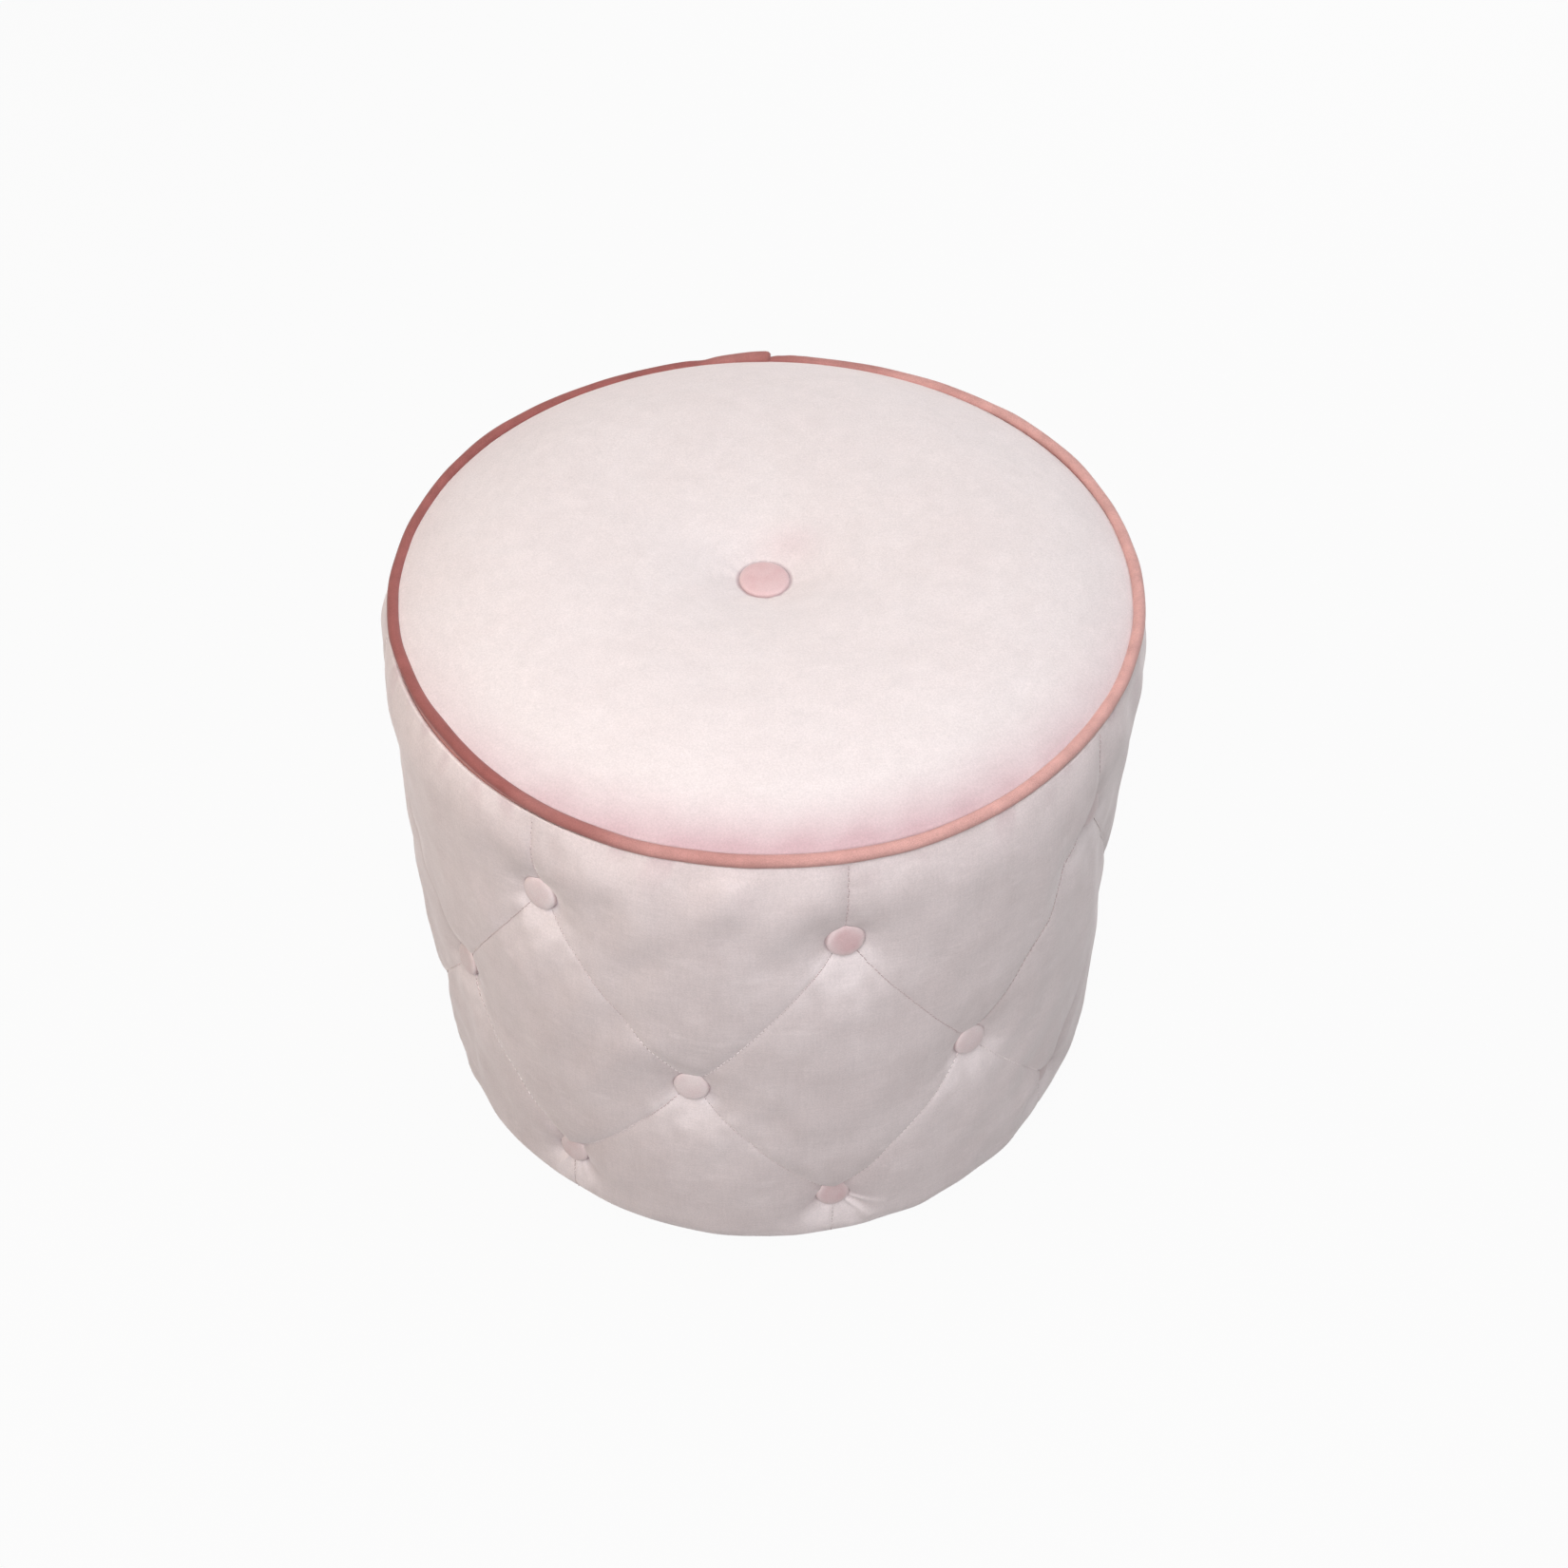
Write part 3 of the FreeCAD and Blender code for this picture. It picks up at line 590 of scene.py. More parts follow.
def quiltFacts(azimuth, height):
    # unrolled distances: to the nearest stitch line, along it to a button, and to each row's buttons
    x = np.abs(turnFrom(azimuth, firstColumn, halfPitch)) * crestRadius
    half = halfPitch * crestRadius
    lines = [((0, upperRow), (half, middleRow), True), ((0, lowerRow), (half, middleRow), True),
             ((0, upperRow), (0, sideTop), False), ((0, lowerRow), (0, hemBottom), False)]
    nearest, along = np.full_like(x, 9.0), np.full_like(x, 9.0)
    for a, b, bothEnds in lines:
        distance, fromA, fromB = segmentDistance(x, height, a, b)
        reach = np.minimum(fromA, fromB) if bothEnds else fromA
        closer = distance < nearest
        nearest, along = np.where(closer, distance, nearest), np.where(closer, reach, along)
    upper = np.hypot(x, height - upperRow)
    middle = np.hypot(half - x, height - middleRow)
    lower = np.hypot(x, height - lowerRow)
    return nearest, along, (upper, middle, lower)


def edgeFade(height, reach):
    return unit(np.minimum(sideTop - height, height - hemBottom) / reach)


def buttonRoom(toButton, reach):
    return 1 - bell(np.maximum(toButton - buttonRadius, 0), reach)


def sideRadius(azimuth, height, cfg):
    nearest, along, toRows = quiltFacts(azimuth, height)
    pillow = 0 * height
    for away, (row, rowHeight, _) in zip(toRows, buttonRows):
        above = cfg["overhang" if row == "lower" else "dent"]
        tilt = (height - rowHeight) / np.maximum(away, 1e-6)
        spread = above + (cfg["dentBelow"] - above) * (0.5 - 0.5 * tilt) ** cfg["dentShape"]
        pillow = pillow + decay(away - cfg["floor"], spread)
    depth = cfg["tuftDepth"] + cfg["lowerExtra"] * bell(toRows[2], cfg["lowerReach"])
    pillow = depth * np.minimum(pillow, 1)
    fade = edgeFade(height, cfg["dentFade"])
    line = decay(along - cfg["floor"], cfg["lineDent"])
    line = (cfg["lineDepth"] + (depth - cfg["lineDepth"]) * line) * fade
    pillow = pillow * fade
    groove = np.exp(-(nearest / cfg["lineWidth"]) ** cfg["lineShape"])
    return sideCrest(height, cfg) - pillow - np.maximum(line - pillow, 0) * groove


def sideStations(cfg):
    marks = [hemBottom, lowerRow, middleRow, upperRow, sideTop]
    counts = [cfg["rowsBelow"], cfg["columns"], cfg["columns"], cfg["rowsAbove"]]
    rows = [np.linspace(a, b, count, endpoint=False) for a, b, count in zip(marks, marks[1:], counts)]
    return np.concatenate(rows + [[sideTop]])


def makeSideSurface(cfg):
    azimuth = firstColumn + fullTurn(2 * columnCount * cfg["columns"])
    azimuth, height = np.meshgrid(azimuth, sideStations(cfg))
    nearest, _, toRows = quiltFacts(azimuth, height)
    toButton = np.minimum.reduce(toRows)
    points = polar(sideRadius(azimuth, height, cfg), azimuth, height)
    plain = refine(refine(points))
    held = np.zeros(height.shape)
    held[nearest < cfg["heldLine"]] = 1
    held[toButton < cfg["heldButton"] * buttonRadius] = 1
    held[[0, -1]] = 1
    quads = gridFaces(*height.shape)
    settled = settleCloth("sideShell", points.reshape(-1, 3), quads, held.ravel(), cfg["cloth"])
    moved = settled.reshape(*height.shape, 3) - points
    for _ in range(cfg["calm"]):
        padded = np.concatenate([moved[:1], moved, moved[-1:]])
        moved = (padded[:-2] + 2 * moved + padded[2:]) / 4
        moved = (np.roll(moved, 1, axis=1) + 2 * moved + np.roll(moved, -1, axis=1)) / 4
    points = points + moved * (1 - held[..., None])
    # the fine mesh takes back what the coarse cloth lost round the buttons and along the lines
    plainAzimuth = azimuths(plain)
    exact = polar(sideRadius(plainAzimuth, plain[..., 2], cfg), plainAzimuth, plain[..., 2])
    points = refine(refine(points)) + exact - plain
    azimuth, height = azimuths(points), points[..., 2]
    nearest, _, toRows = quiltFacts(azimuth, height)
    toButton = np.minimum.reduce(toRows)
    free, close = buttonRoom(toButton, cfg["foldRoom"]), buttonRoom(toButton, cfg["lapRoom"])
    edge = edgeFade(height, cfg["foldFade"])
    lift = cfg["unevenness"] * free * edge * waves(azimuth, height, *cfg["ripples"])
    lift = lift - cfg["crease"] * bell(nearest, cfg["creaseWidth"]) * edge
    pulled = puckers(azimuth, height, cfg)
    lift = lift + pulled
    for folds, room, back in ((cfg["folds"], free, 1), (cfg["laps"], close, cfg["lapBack"])):
        for place, middle, wide, tall, lean, out in folds:
            rise = (height - middle * mm) / (tall * mm)
            turn = np.degrees(turnFrom(azimuth, math.radians(place))) - lean * rise * cfg["leanDegrees"]
            across = np.where(turn < 0, turn / back, turn) / wide
            lift = lift + out * mm * room * edge * np.exp(-across ** 2 - rise ** 2)
    return points + gridNormals(points) * lift[..., None], toButton, pulled


def puckers(azimuth, height, cfg):
    # short folds that fan out below each lower button, and fainter ones round the rest
    draw = np.random.default_rng(29)
    lift = np.zeros_like(height)
    for row, rowHeight, shift in buttonRows:
        strength, count = cfg["puckerRows"][row]
        bearings = (draw.normal, 0, cfg["puckerFan"]) if row == "lower" else (draw.uniform, -math.pi, math.pi)
        for index in range(columnCount):
            x = turnFrom(azimuth, firstColumn + (2 * index + shift) * halfPitch) * crestRadius
            y = height - rowHeight
            near = np.hypot(x, y) < cfg["puckerReach"]
            bearing = np.arctan2(x[near], -y[near])
            away = np.hypot(x[near], y[near]) - buttonRadius
            pulls = []
            for _ in range(count):
                angle = bearings[0](*bearings[1:])
                pulls.append((angle, draw.uniform(*cfg["puckerLength"]), draw.uniform(*cfg["puckerWidth"]),
                              cfg["pucker"] * strength * draw.uniform(*cfg["puckerSizes"])))
            drawn = [pull for pull in cfg["pulls"] if pull[:2] == (row, index)]
            pulls += [(angle, length, width, size * mm) for _, _, angle, length, width, size in drawn]
            for angle, length, width, size in pulls:
                start = unit(away / cfg["puckerStart"])
                rise = start * decay(away, length * mm)
                lift[near] += size * rise * bell(turnFrom(bearing, angle), width)
    return lift


dentLight = {
    "below": (1.5, 0.40, 0.5, 25 * mm, 1.3),  # painted highlight below a button: strength, from, over, reach, shape
    "above": (0.7, 0.1, 0.8, 20 * mm, 1.4),  # and painted shade above it
    "ragged": 0.25,
    "ripples": (20, (20, 90), 60, 31),
}


def paintDentLight(azimuth, height, cfg):
    # painted light of the dents: 1 for the painted highlight below a button, -1 for the painted shade above
    # one
    stretchAndPaintedLight = np.zeros_like(height)
    ragged = 1 + cfg["ragged"] * waves(azimuth, height, *cfg["ripples"])
    for _, rowHeight, shift in buttonRows:
        x = turnFrom(azimuth - firstColumn, shift * halfPitch, halfPitch) * crestRadius
        y = height - rowHeight
        fromMiddle = np.hypot(x, y)
        away, down = np.maximum(fromMiddle - buttonRadius, 0), -y / np.maximum(fromMiddle, 1e-6)
        for sign, (strength, start, over, reach, shape) in ((1, cfg["below"]), (-1, cfg["above"])):
            tone = unit((sign * down - start) / over) * np.exp(-(away / reach) ** shape)
            stretchAndPaintedLight = stretchAndPaintedLight + sign * strength * ragged * tone
    return np.clip(stretchAndPaintedLight, -1, 1)


# painted crease shadow round a button: strength, place and width
rimLine = {"strength": 0.8, "place": 0.2 * mm, "width": 0.7 * mm}


def creaseShadowRing(away):
    # the thin dark line that runs round a button, a painted crease shadow
    return rimLine["strength"] * bell(away - rimLine["place"], rimLine["width"])


def padEnd(values, count):
    return np.concatenate([values.ravel(), np.zeros(count - values.size)])


def makeSidePad(cfg):
    surface, toButton, pulled = makeSideSurface(cfg)
    rows, columns = surface.shape[:2]
    azimuth = azimuths(surface[0])
    # from the upper edge in over the foam and down the wall, then out along the hem to the lower edge
    throat = pipingCircle - cfg["throatInset"]
    inner = wallOutside + cfg["liningGap"]
    ledge = boardTop + cfg["ledgeRise"]
    hemTop = hemBottom + cfg["hemThickness"]
    rings = [(throat, sideTop - cfg["throatInset"]), (throat, ledge), (inner, ledge),
             (inner, hemTop + cfg["liningStep"]), (inner, hemTop), (hemInside, hemTop),
             (hemInside, hemBottom), (inner, hemBottom),
             (crestRadius - cfg["bottomTuck"] - cfg["hemRoll"], hemBottom)]
    lining = np.stack([polar(r, azimuth, z) for r, z in rings])
    points = np.concatenate([surface, lining]).reshape(-1, 3)
    count = rows + len(rings)
    faces = np.concatenate([gridFaces(count, columns), gridFaces(2, columns)])
    last = (count - 1) * columns
    close = faces[-columns:]
    faces[-columns:] = np.where(close < columns, close + last, close - columns)
    piece = meshPiece("sidePad", points, faces)
    height = surface[..., 2]
    around = azimuths(surface)
    speckle = waves(around, height, *cfg["speckle"])
    reach, least, strength = cfg["pipingBlush"]
    belowPiping = decay(sideTop - height, reach)
    belowPiping = belowPiping * unit(speckle - least) * strength
    reach, strength = cfg["lowerBlush"]
    byLower = bell(np.hypot(np.maximum(height - lowerRow, 0), toButton), reach) * strength
    # painted highlight below each button and on fold ridges, painted shade above each button
    stretchAndPaintedLight = np.clip(paintDentLight(around, height, dentLight) + cfg["pullPaintedLight"] * pulled, -1, 1)
    setAttribute(piece, "stretchAndPaintedLight", padEnd(stretchAndPaintedLight, len(points)))
    # painted crease shadow round each button, drawn down over the lip that covers a lower button
    upper, middle, lower = quiltFacts(around, height)[2]
    lip = cfg["lip"] * unit((height - lowerRow) / np.maximum(lower, 0.1 * mm))
    toRim = np.minimum(np.minimum(upper, middle), lower + lip) - buttonRadius
    setAttribute(piece, "creaseShadow", padEnd(creaseShadowRing(toRim), len(points)))
    setAttribute(piece, "blush", padEnd(unit(belowPiping + byLower), len(points)))
    dressPiece(piece, finishes["blush_velvet"], "blush_velvet", "side_cover", "side_foam")
    print(f"side pad: {len(points)} points")
    return surface


sideSurface = makeSidePad(sidePad)


def surfaceAt(azimuth, height):
    # point and outward normal of the finished side at a place, from the nearest mesh points
    rows, columns = sideSurface.shape[:2]
    column = np.mod((azimuth - firstColumn) / (2 * math.pi) * columns, columns)
    level = np.interp(height, sideSurface[:, 0, 2], np.arange(rows))
    c0, r0 = np.floor(column).astype(int), np.clip(np.floor(level).astype(int), 0, rows - 2)
    u, v = (column - c0)[:, None], (level - r0)[:, None]
    c1 = (c0 + 1) % columns
    c0 = c0 % columns
    low = sideSurface[r0, c0] * (1 - u) + sideSurface[r0, c1] * u
    high = sideSurface[r0 + 1, c0] * (1 - u) + sideSurface[r0 + 1, c1] * u
    corner = sideSurface[r0, c0]
    normal = np.cross(sideSurface[r0, c1] - corner, sideSurface[r0 + 1, c0] - corner)
    return low * (1 - v) + high * v, unitVectors(normal)


# Quilting stitches

quilting = {
    "pitch": 3.1 * mm,
    "length": 2.3 * mm,
    "thickness": 0.26 * mm,  # radius of the thread
    "sink": 0.05 * mm,
    "pit": 0.36 * mm,  # radius of the painted shade at a needle hole
    "sides": 6,
    "wobble": 0.1 * mm,
    "endGap": 1 * mm,  # the lines begin this far under a rim and end this short of an edge
    "stitchProfile": [(0.0, 0.25, -0.5), (0.07, 0.75, 0.1), (0.25, 1.0, 0.75), (0.5, 1.0, 1.0),
                      (0.75, 1.0, 0.75), (0.93, 0.75, 0.1), (1.0, 0.25, -0.5)],  # (along, thickness, lift)
    "pitProfile": [(0.55, 0.75), (1.0, 0.1), (0.7, -0.8)],  # (out, rise)
}


def tubeFaces(points, rings, sides):
    # faces of many small closed tubes, points[tube, ring by ring, xyz]
    one = list(gridFaces(rings, sides))
    one += [tuple(range(sides))[::-1], tuple((rings - 1) * sides + k for k in range(sides))]
    return [tuple(k + index * points.shape[1] for k in f) for index in range(len(points)) for f in one]


def stitchLines():
    # every quilted line as (start azimuth, start height, end azimuth, end height)
    lines = []
    for index in range(columnCount):
        centre = firstColumn + 2 * index * halfPitch
        for side in (-1, 1):
            lines.append((centre, upperRow, centre + side * halfPitch, middleRow))
            lines.append((centre, lowerRow, centre + side * halfPitch, middleRow))
        lines.append((centre, upperRow, centre, sideTop))
        lines.append((centre, lowerRow, centre, hemBottom))
    return lines


def makeTubes(name, middles, first, second, radii, sides, material):
    # many small closed tubes as one piece, from the middles and the radius of each ring
    rings = []
    for middle, radius in zip(middles, radii):
        for turn in fullTurn(sides):
            rings.append(middle + (first * math.cos(turn) + second * math.sin(turn)) * radius)
    points = np.stack(rings, axis=1)
    piece = meshPiece(name, points.reshape(-1, 3), tubeFaces(points, len(radii), sides))
    dressPiece(piece, material, "blush_velvet")


def makeStitches(cfg):
    starts, ends = [], []
    for a0, z0, a1, z1 in stitchLines():
        length = math.hypot((a1 - a0) * crestRadius, z1 - z0)
        begin = buttonRadius - cfg["endGap"]
        end = length - (begin if a0 != a1 else cfg["endGap"])
        for spot in np.arange(begin, end - cfg["length"], cfg["pitch"]):
            wobble = rng.normal(0, cfg["wobble"], 4)
            a, b = spot / length, (spot + cfg["length"] + wobble[0]) / length
            starts.append((a0 + (a1 - a0) * a + wobble[1] / crestRadius, z0 + (z1 - z0) * a + wobble[2]))
            ends.append((a0 + (a1 - a0) * b + wobble[3] / crestRadius, z0 + (z1 - z0) * b))
    starts, ends = np.array(starts), np.array(ends)
    head, upHead = surfaceAt(starts[:, 0], starts[:, 1])
    tail, upTail = surfaceAt(ends[:, 0], ends[:, 1])
    up = unitVectors(upHead + upTail)
    across = np.cross(unitVectors(tail - head), up)
    middles = [head * (1 - share) + tail * share + up * (cfg["thickness"] * rise - cfg["sink"])
               for share, _, rise in cfg["stitchProfile"]]
    radii = [cfg["thickness"] * thick for _, thick, _ in cfg["stitchProfile"]]
    makeTubes("quiltingStitches", middles, across, up, radii, cfg["sides"], thread)
    # painted shade round each needle hole, a low dark bead between two stitches
    side = unitVectors(np.cross(upHead, (0, 0, 1)))
    middles = [head + upHead * (cfg["sink"] * rise) for _, rise in cfg["pitProfile"]]
    radii = [cfg["pit"] * out for out, _ in cfg["pitProfile"]]
    makeTubes("needlePits", middles, side, np.cross(upHead, side), radii, cfg["sides"], needleHoleShade)
    print(f"stitches: {len(starts)}")


makeStitches(quilting)


# Seat

seatPad = {
    "columns": 240,
    "rings": 60,
    "start": 4 * mm,  # radius of the innermost ring, under the button
    "dimpleShape": 2.7,
    "rimLap": 3.5 * mm,  # the cover rises this far inside the button's rim
    "crestInset": 83 * mm,  # from the seat's edge to the highest ring
    "shoulderInset": 29 * mm,
    "shoulderDrop": 3.6 * mm,
    "edgeShape": 2.1,
    "seamDrop": 6 * mm,
    "calm": 8,  # the settled cloth is evened out over this many columns each way
    "unevenness": 0.30 * mm,
    "ripples": (18, (1, 9), 22, 3),
    "edgeRoom": 12 * mm,  # the unevenness fades out this near the edge
    "buttonRoom": 14 * mm,  # and this near the button
    "gather": 0.25 * mm,  # small folds round the button
    "gatherReach": 9 * mm,
    "gatherStart": 2 * mm,
    "gatherRipples": (8, (7, 16), 2, 8),
    "padRise": 13.5 * mm,  # the lining lies this far above the seat board
    "boardGap": 0.2 * mm,
    "band": (31 * mm, 28 * mm, 1.7),  # inset, width and shape of the pink band along the front
    "bandFront": (0.1, 1.6),  # its middle, and how fast it fades out to the sides
    "bandShares": (0.08, 1.02),  # its strength all round, where the pile is opened, and more at the front, painted: the sheen lost where the edge faces the front
    "bandRagged": 0.06,
    "bandRipples": (20, (6, 50), 40, 14),
    "patch": (13 * mm, 21 * mm),  # a pink patch behind the button
    "patchReach": (14 * mm, 10 * mm),
    "patchShare": 0.30,
    "cloth": {"pressure": 4, "slack": 0.0, "frames": 12, "reach": 3 * mm},
}


def seatHeight(radius, cfg):
    crest, shoulder = seatEdge - cfg["crestInset"], seatEdge - cfg["shoulderInset"]
    floor = seatButton - cfg["rimLap"]
    dimple = unit((crest - radius) / (crest - floor)) ** cfg["dimpleShape"]
    fall = unit((radius - crest) / (shoulder - crest)) ** 2
    roll = unit((radius - shoulder) / (seatEdge - shoulder)) ** cfg["edgeShape"]
    drop = crownTop - pipingHeight - cfg["shoulderDrop"]
    tuftDepth = crownTop - seatButtonLow.z
    return crownTop - tuftDepth * dimple - cfg["shoulderDrop"] * fall - drop * roll


def makeSeatPad(cfg):
    azimuth, radius = np.meshgrid(fullTurn(cfg["columns"]), np.linspace(cfg["start"], seatEdge, cfg["rings"]))
    points = polar(radius, azimuth, seatHeight(radius, cfg))
    held = np.zeros(radius.shape)
    held[radius < seatButton - cfg["rimLap"]] = 1
    held[-1] = 1
    quads = gridFaces(*radius.shape, flip=True)
    settled = settleCloth("seatShell", points.reshape(-1, 3), quads, held.ravel(), cfg["cloth"])
    moved = settled.reshape(*radius.shape, 3) - points
    span = range(-cfg["calm"], cfg["calm"] + 1)
    points[..., 2] += sum(np.roll(moved[..., 2], k, axis=1) for k in span) / len(span)
    points = refine(points)
    azimuth, radius = azimuths(points), np.hypot(points[..., 0], points[..., 1])
    fromButton = radius - seatButton
    inside = unit((seatEdge - radius) / cfg["edgeRoom"])
    inside = inside * unit(fromButton / cfg["buttonRoom"])
    points[..., 2] += cfg["unevenness"] * inside * waves(azimuth, radius, *cfg["ripples"])
    near = decay(fromButton, cfg["gatherReach"])
    near = near * unit(fromButton / cfg["gatherStart"])
    points[..., 2] += cfg["gather"] * near * waves(azimuth, radius, *cfg["gatherRipples"])
    rows, columns = points.shape[:2]
    ledge, under = boardTop + cfg["padRise"], boardTop + cfg["boardGap"]
    rings = [(seatEdge, pipingHeight - cfg["seamDrop"]), (seatEdge - 3 * mm, ledge), (wallOutside, ledge),
             (wallOutside - 0.5 * mm, under), (cfg["start"], under)]
    lining = np.stack([polar(r, fullTurn(columns), z) for r, z in rings])
    allPoints = np.concatenate([points, lining]).reshape(-1, 3)
    count = rows + len(rings)
    faces = list(gridFaces(count, columns, flip=True))
    faces.append(tuple(range(columns)))
    faces.append(tuple(range((count - 1) * columns, count * columns))[::-1])
    piece = meshPiece("seatPad", allPoints, faces)
    middle, shape = cfg["bandFront"]
    # painted light: the band grows pinker towards the front, for the sheen lost where the edge faces the
    # front
    front = unit(np.cos(azimuth - middle)) ** shape
    inset, width, shape = cfg["band"]
    band = unit((radius - (seatEdge - inset)) / width) ** shape
    ragged = 1 - cfg["bandRagged"] + cfg["bandRagged"] * waves(azimuth, radius, *cfg["bandRipples"])
    allRound, more = cfg["bandShares"]
    fromPatch = (points[..., :2] - cfg["patch"]) / cfg["patchReach"]
    patch = cfg["patchShare"] * np.exp(-(fromPatch ** 2).sum(axis=-1))
    blush = band * ragged * (allRound + more * front) + patch
    setAttribute(piece, "blush", padEnd(unit(blush), len(allPoints)))
    # painted crease shadow round the seat button
    setAttribute(piece, "creaseShadow", padEnd(creaseShadowRing(fromButton), len(allPoints)))
    dressPiece(piece, seatVelvet, "blush_velvet", "seat_cover", "seat_wadding", "seat_foam")
    print(f"seat pad: {len(allPoints)} points")


makeSeatPad(seatPad)


# Piping

pipingBead = {
    "steps": 900,
    "sides": 16,
    "join": math.pi,  # azimuth of the lapped ends, at the back
    "lap": 7 * mm,
    "lapRise": 1.5 * mm,
    "kink": 1.0 * mm,  # a dip in the bead
    "kinkPlace": 37 * mm,  # this far from its upper end
    "swell": 0.24,  # the upper end is this much thicker
    "swellLength": 26 * mm,
    "inset": 1.4 * mm,  # the bead sits a little inside its true circle
    "bends": [(1, 1.1, 84), (3, 1.2, 8), (7, 0.5, 171)],  # (bends to a turn, mm out, azimuth in degrees)
    "wander": 0.09 * mm,
    "swayRipples": (14, (9, 30), 0, 21),
    "riseRipples": (14, (2, 15), 0, 22),
    "thickRipples": (20, (10, 60), 0, 23),
    "thickWander": 0.012,
    "calmEnds": 40 * mm,  # the heights wander less this near the ends
    "kinkLength": 6 * mm,
    "upperOut": 0.5 * mm,  # the upper end stands out, the one under it lies in, lower and thinner
    "underLength": 9 * mm,
    "underIn": 0.7 * mm,
    "underDrop": 0.8 * mm,
    "underThin": 0.12,
    "gather": 0.05,  # small folds of the sleeve next to its joint
    "gatherWave": 1.3 * mm,
    "gatherLength": 22 * mm,
    "flangeSteps": 360,
    "flangeDepth": 11 * mm,
    "flangeThickness": 1.2 * mm,
    "flangeInset": 1 * mm,
    "flangeNap": 0.4,
    "napMiddle": 0.5,
    "napSide": (0.88, 0.08),  # share, azimuth: the pile lies one way round the bead
    # painted light and shade: the bead is lighter at the front and darker at the back
    "napFront": 0.10,
    "napBack": 0.22,
    "napWander": 0.06,
    "napRipples": (12, (3, 30), 0, 24),
    "napMost": 0.9,
}


def tubeRound(radius, azimuth, height, thick, sides):
    # rings of points round a path
    rings = []
    for turn in fullTurn(sides):
        rings.append(polar(radius + thick * math.cos(turn), azimuth, height + thick * math.sin(turn)))
    return np.stack(rings, axis=1)


def makePiping(cfg):
    steps, sides = cfg["steps"], cfg["sides"]
    share = np.linspace(0, 1, steps)
    lapTurn = cfg["lap"] / pipingCircle
    azimuth = cfg["join"] + lapTurn / 2 - share * (2 * math.pi + lapTurn)
    level = 0 * azimuth
    fromEnd = (1 - share) * 2 * math.pi * pipingCircle
    fromStart = share * 2 * math.pi * pipingCircle
    upper = bell(fromEnd, cfg["swellLength"])
    under = bell(fromStart, cfg["underLength"])
    wander = cfg["wander"] * waves(azimuth, level, *cfg["swayRipples"]) - cfg["inset"]
    for count, size, place in cfg["bends"]:
        wander = wander + size * mm * np.cos(count * azimuth - math.radians(place))
    calm = unit(np.minimum(fromEnd, fromStart) / cfg["calmEnds"])
    height = pipingHeight + cfg["wander"] * waves(azimuth, level, *cfg["riseRipples"]) * calm
    height = height + cfg["lapRise"] * upper - cfg["underDrop"] * under
    height = height - cfg["kink"] * bell(fromEnd - cfg["kinkPlace"], cfg["kinkLength"])
    radius = pipingCircle + wander + cfg["upperOut"] * upper - cfg["underIn"] * under
    gathers = cfg["gather"] * np.sin(fromStart / cfg["gatherWave"])
    gathers = gathers * bell(fromStart, cfg["gatherLength"])
    thick = pipingRadius * (1 + cfg["swell"] * upper - cfg["underThin"] * under + gathers)
    thick = thick * (1 + cfg["thickWander"] * waves(azimuth, level, *cfg["thickRipples"]))
    thick[0] *= 0.55  # the two cut ends are rounded off
    thick[-1] *= 0.62
    thick[-2] *= 0.93
    points = tubeRound(radius, azimuth, height, thick, sides)
    tube = tubeFaces(points.reshape(1, -1, 3), steps, sides)
    # sewn edges of the sleeve, held between the two covers
    start, around = steps * sides, cfg["flangeSteps"]
    middle, half = pipingCircle - pipingRadius + cfg["flangeInset"], cfg["flangeThickness"] / 2
    low, high = pipingHeight - cfg["flangeDepth"], pipingHeight - cfg["flangeInset"]
    corners = [(middle + half, low), (middle + half, high), (middle - half, high), (middle - half, low)]
    band = np.stack([polar(r, fullTurn(around), z) for r, z in corners])
    bandFaces = gridFaces(len(corners) + 1, around, start)
    last = len(corners) * around
    bandFaces = np.where(bandFaces >= start + last, bandFaces - last, bandFaces)
    allPoints = np.concatenate([points.reshape(-1, 3), band.reshape(-1, 3)])
    piece = meshPiece("pipingBead", allPoints, tube + list(bandFaces))
    side, place = cfg["napSide"]
    front = np.cos(azimuth)
    # the pile's lie round the bead, plus painted light at the front and painted shade at the back
    nap = cfg["napMiddle"] + side * np.sin(azimuth + place) + cfg["napFront"] * unit(front) ** 6
    nap = nap + cfg["napWander"] * waves(azimuth, level, *cfg["napRipples"])
    nap = nap - cfg["napBack"] * unit(-front)
    nap = np.clip(np.repeat(nap, sides), 0, cfg["napMost"])
    setAttribute(piece, "nap", np.concatenate([nap, np.full(last, cfg["flangeNap"])]))
    dressPiece(piece, finishes["rose_velvet"], "rose_velvet", "piping")
    # the cord inside it follows the same path, a step shorter at both ends
    core = tubeRound(radius, azimuth, height, cordRadius, sides)[1:-1]
    cord = meshPiece("pipingCord", core.reshape(-1, 3), tubeFaces(core.reshape(1, -1, 3), steps - 2, sides))
    dressPiece(cord, finishes["cotton_cord"], "cotton_cord", "piping_cord")
    print(f"piping bead: {len(allPoints)} points")


makePiping(pipingBead)


# Covered buttons

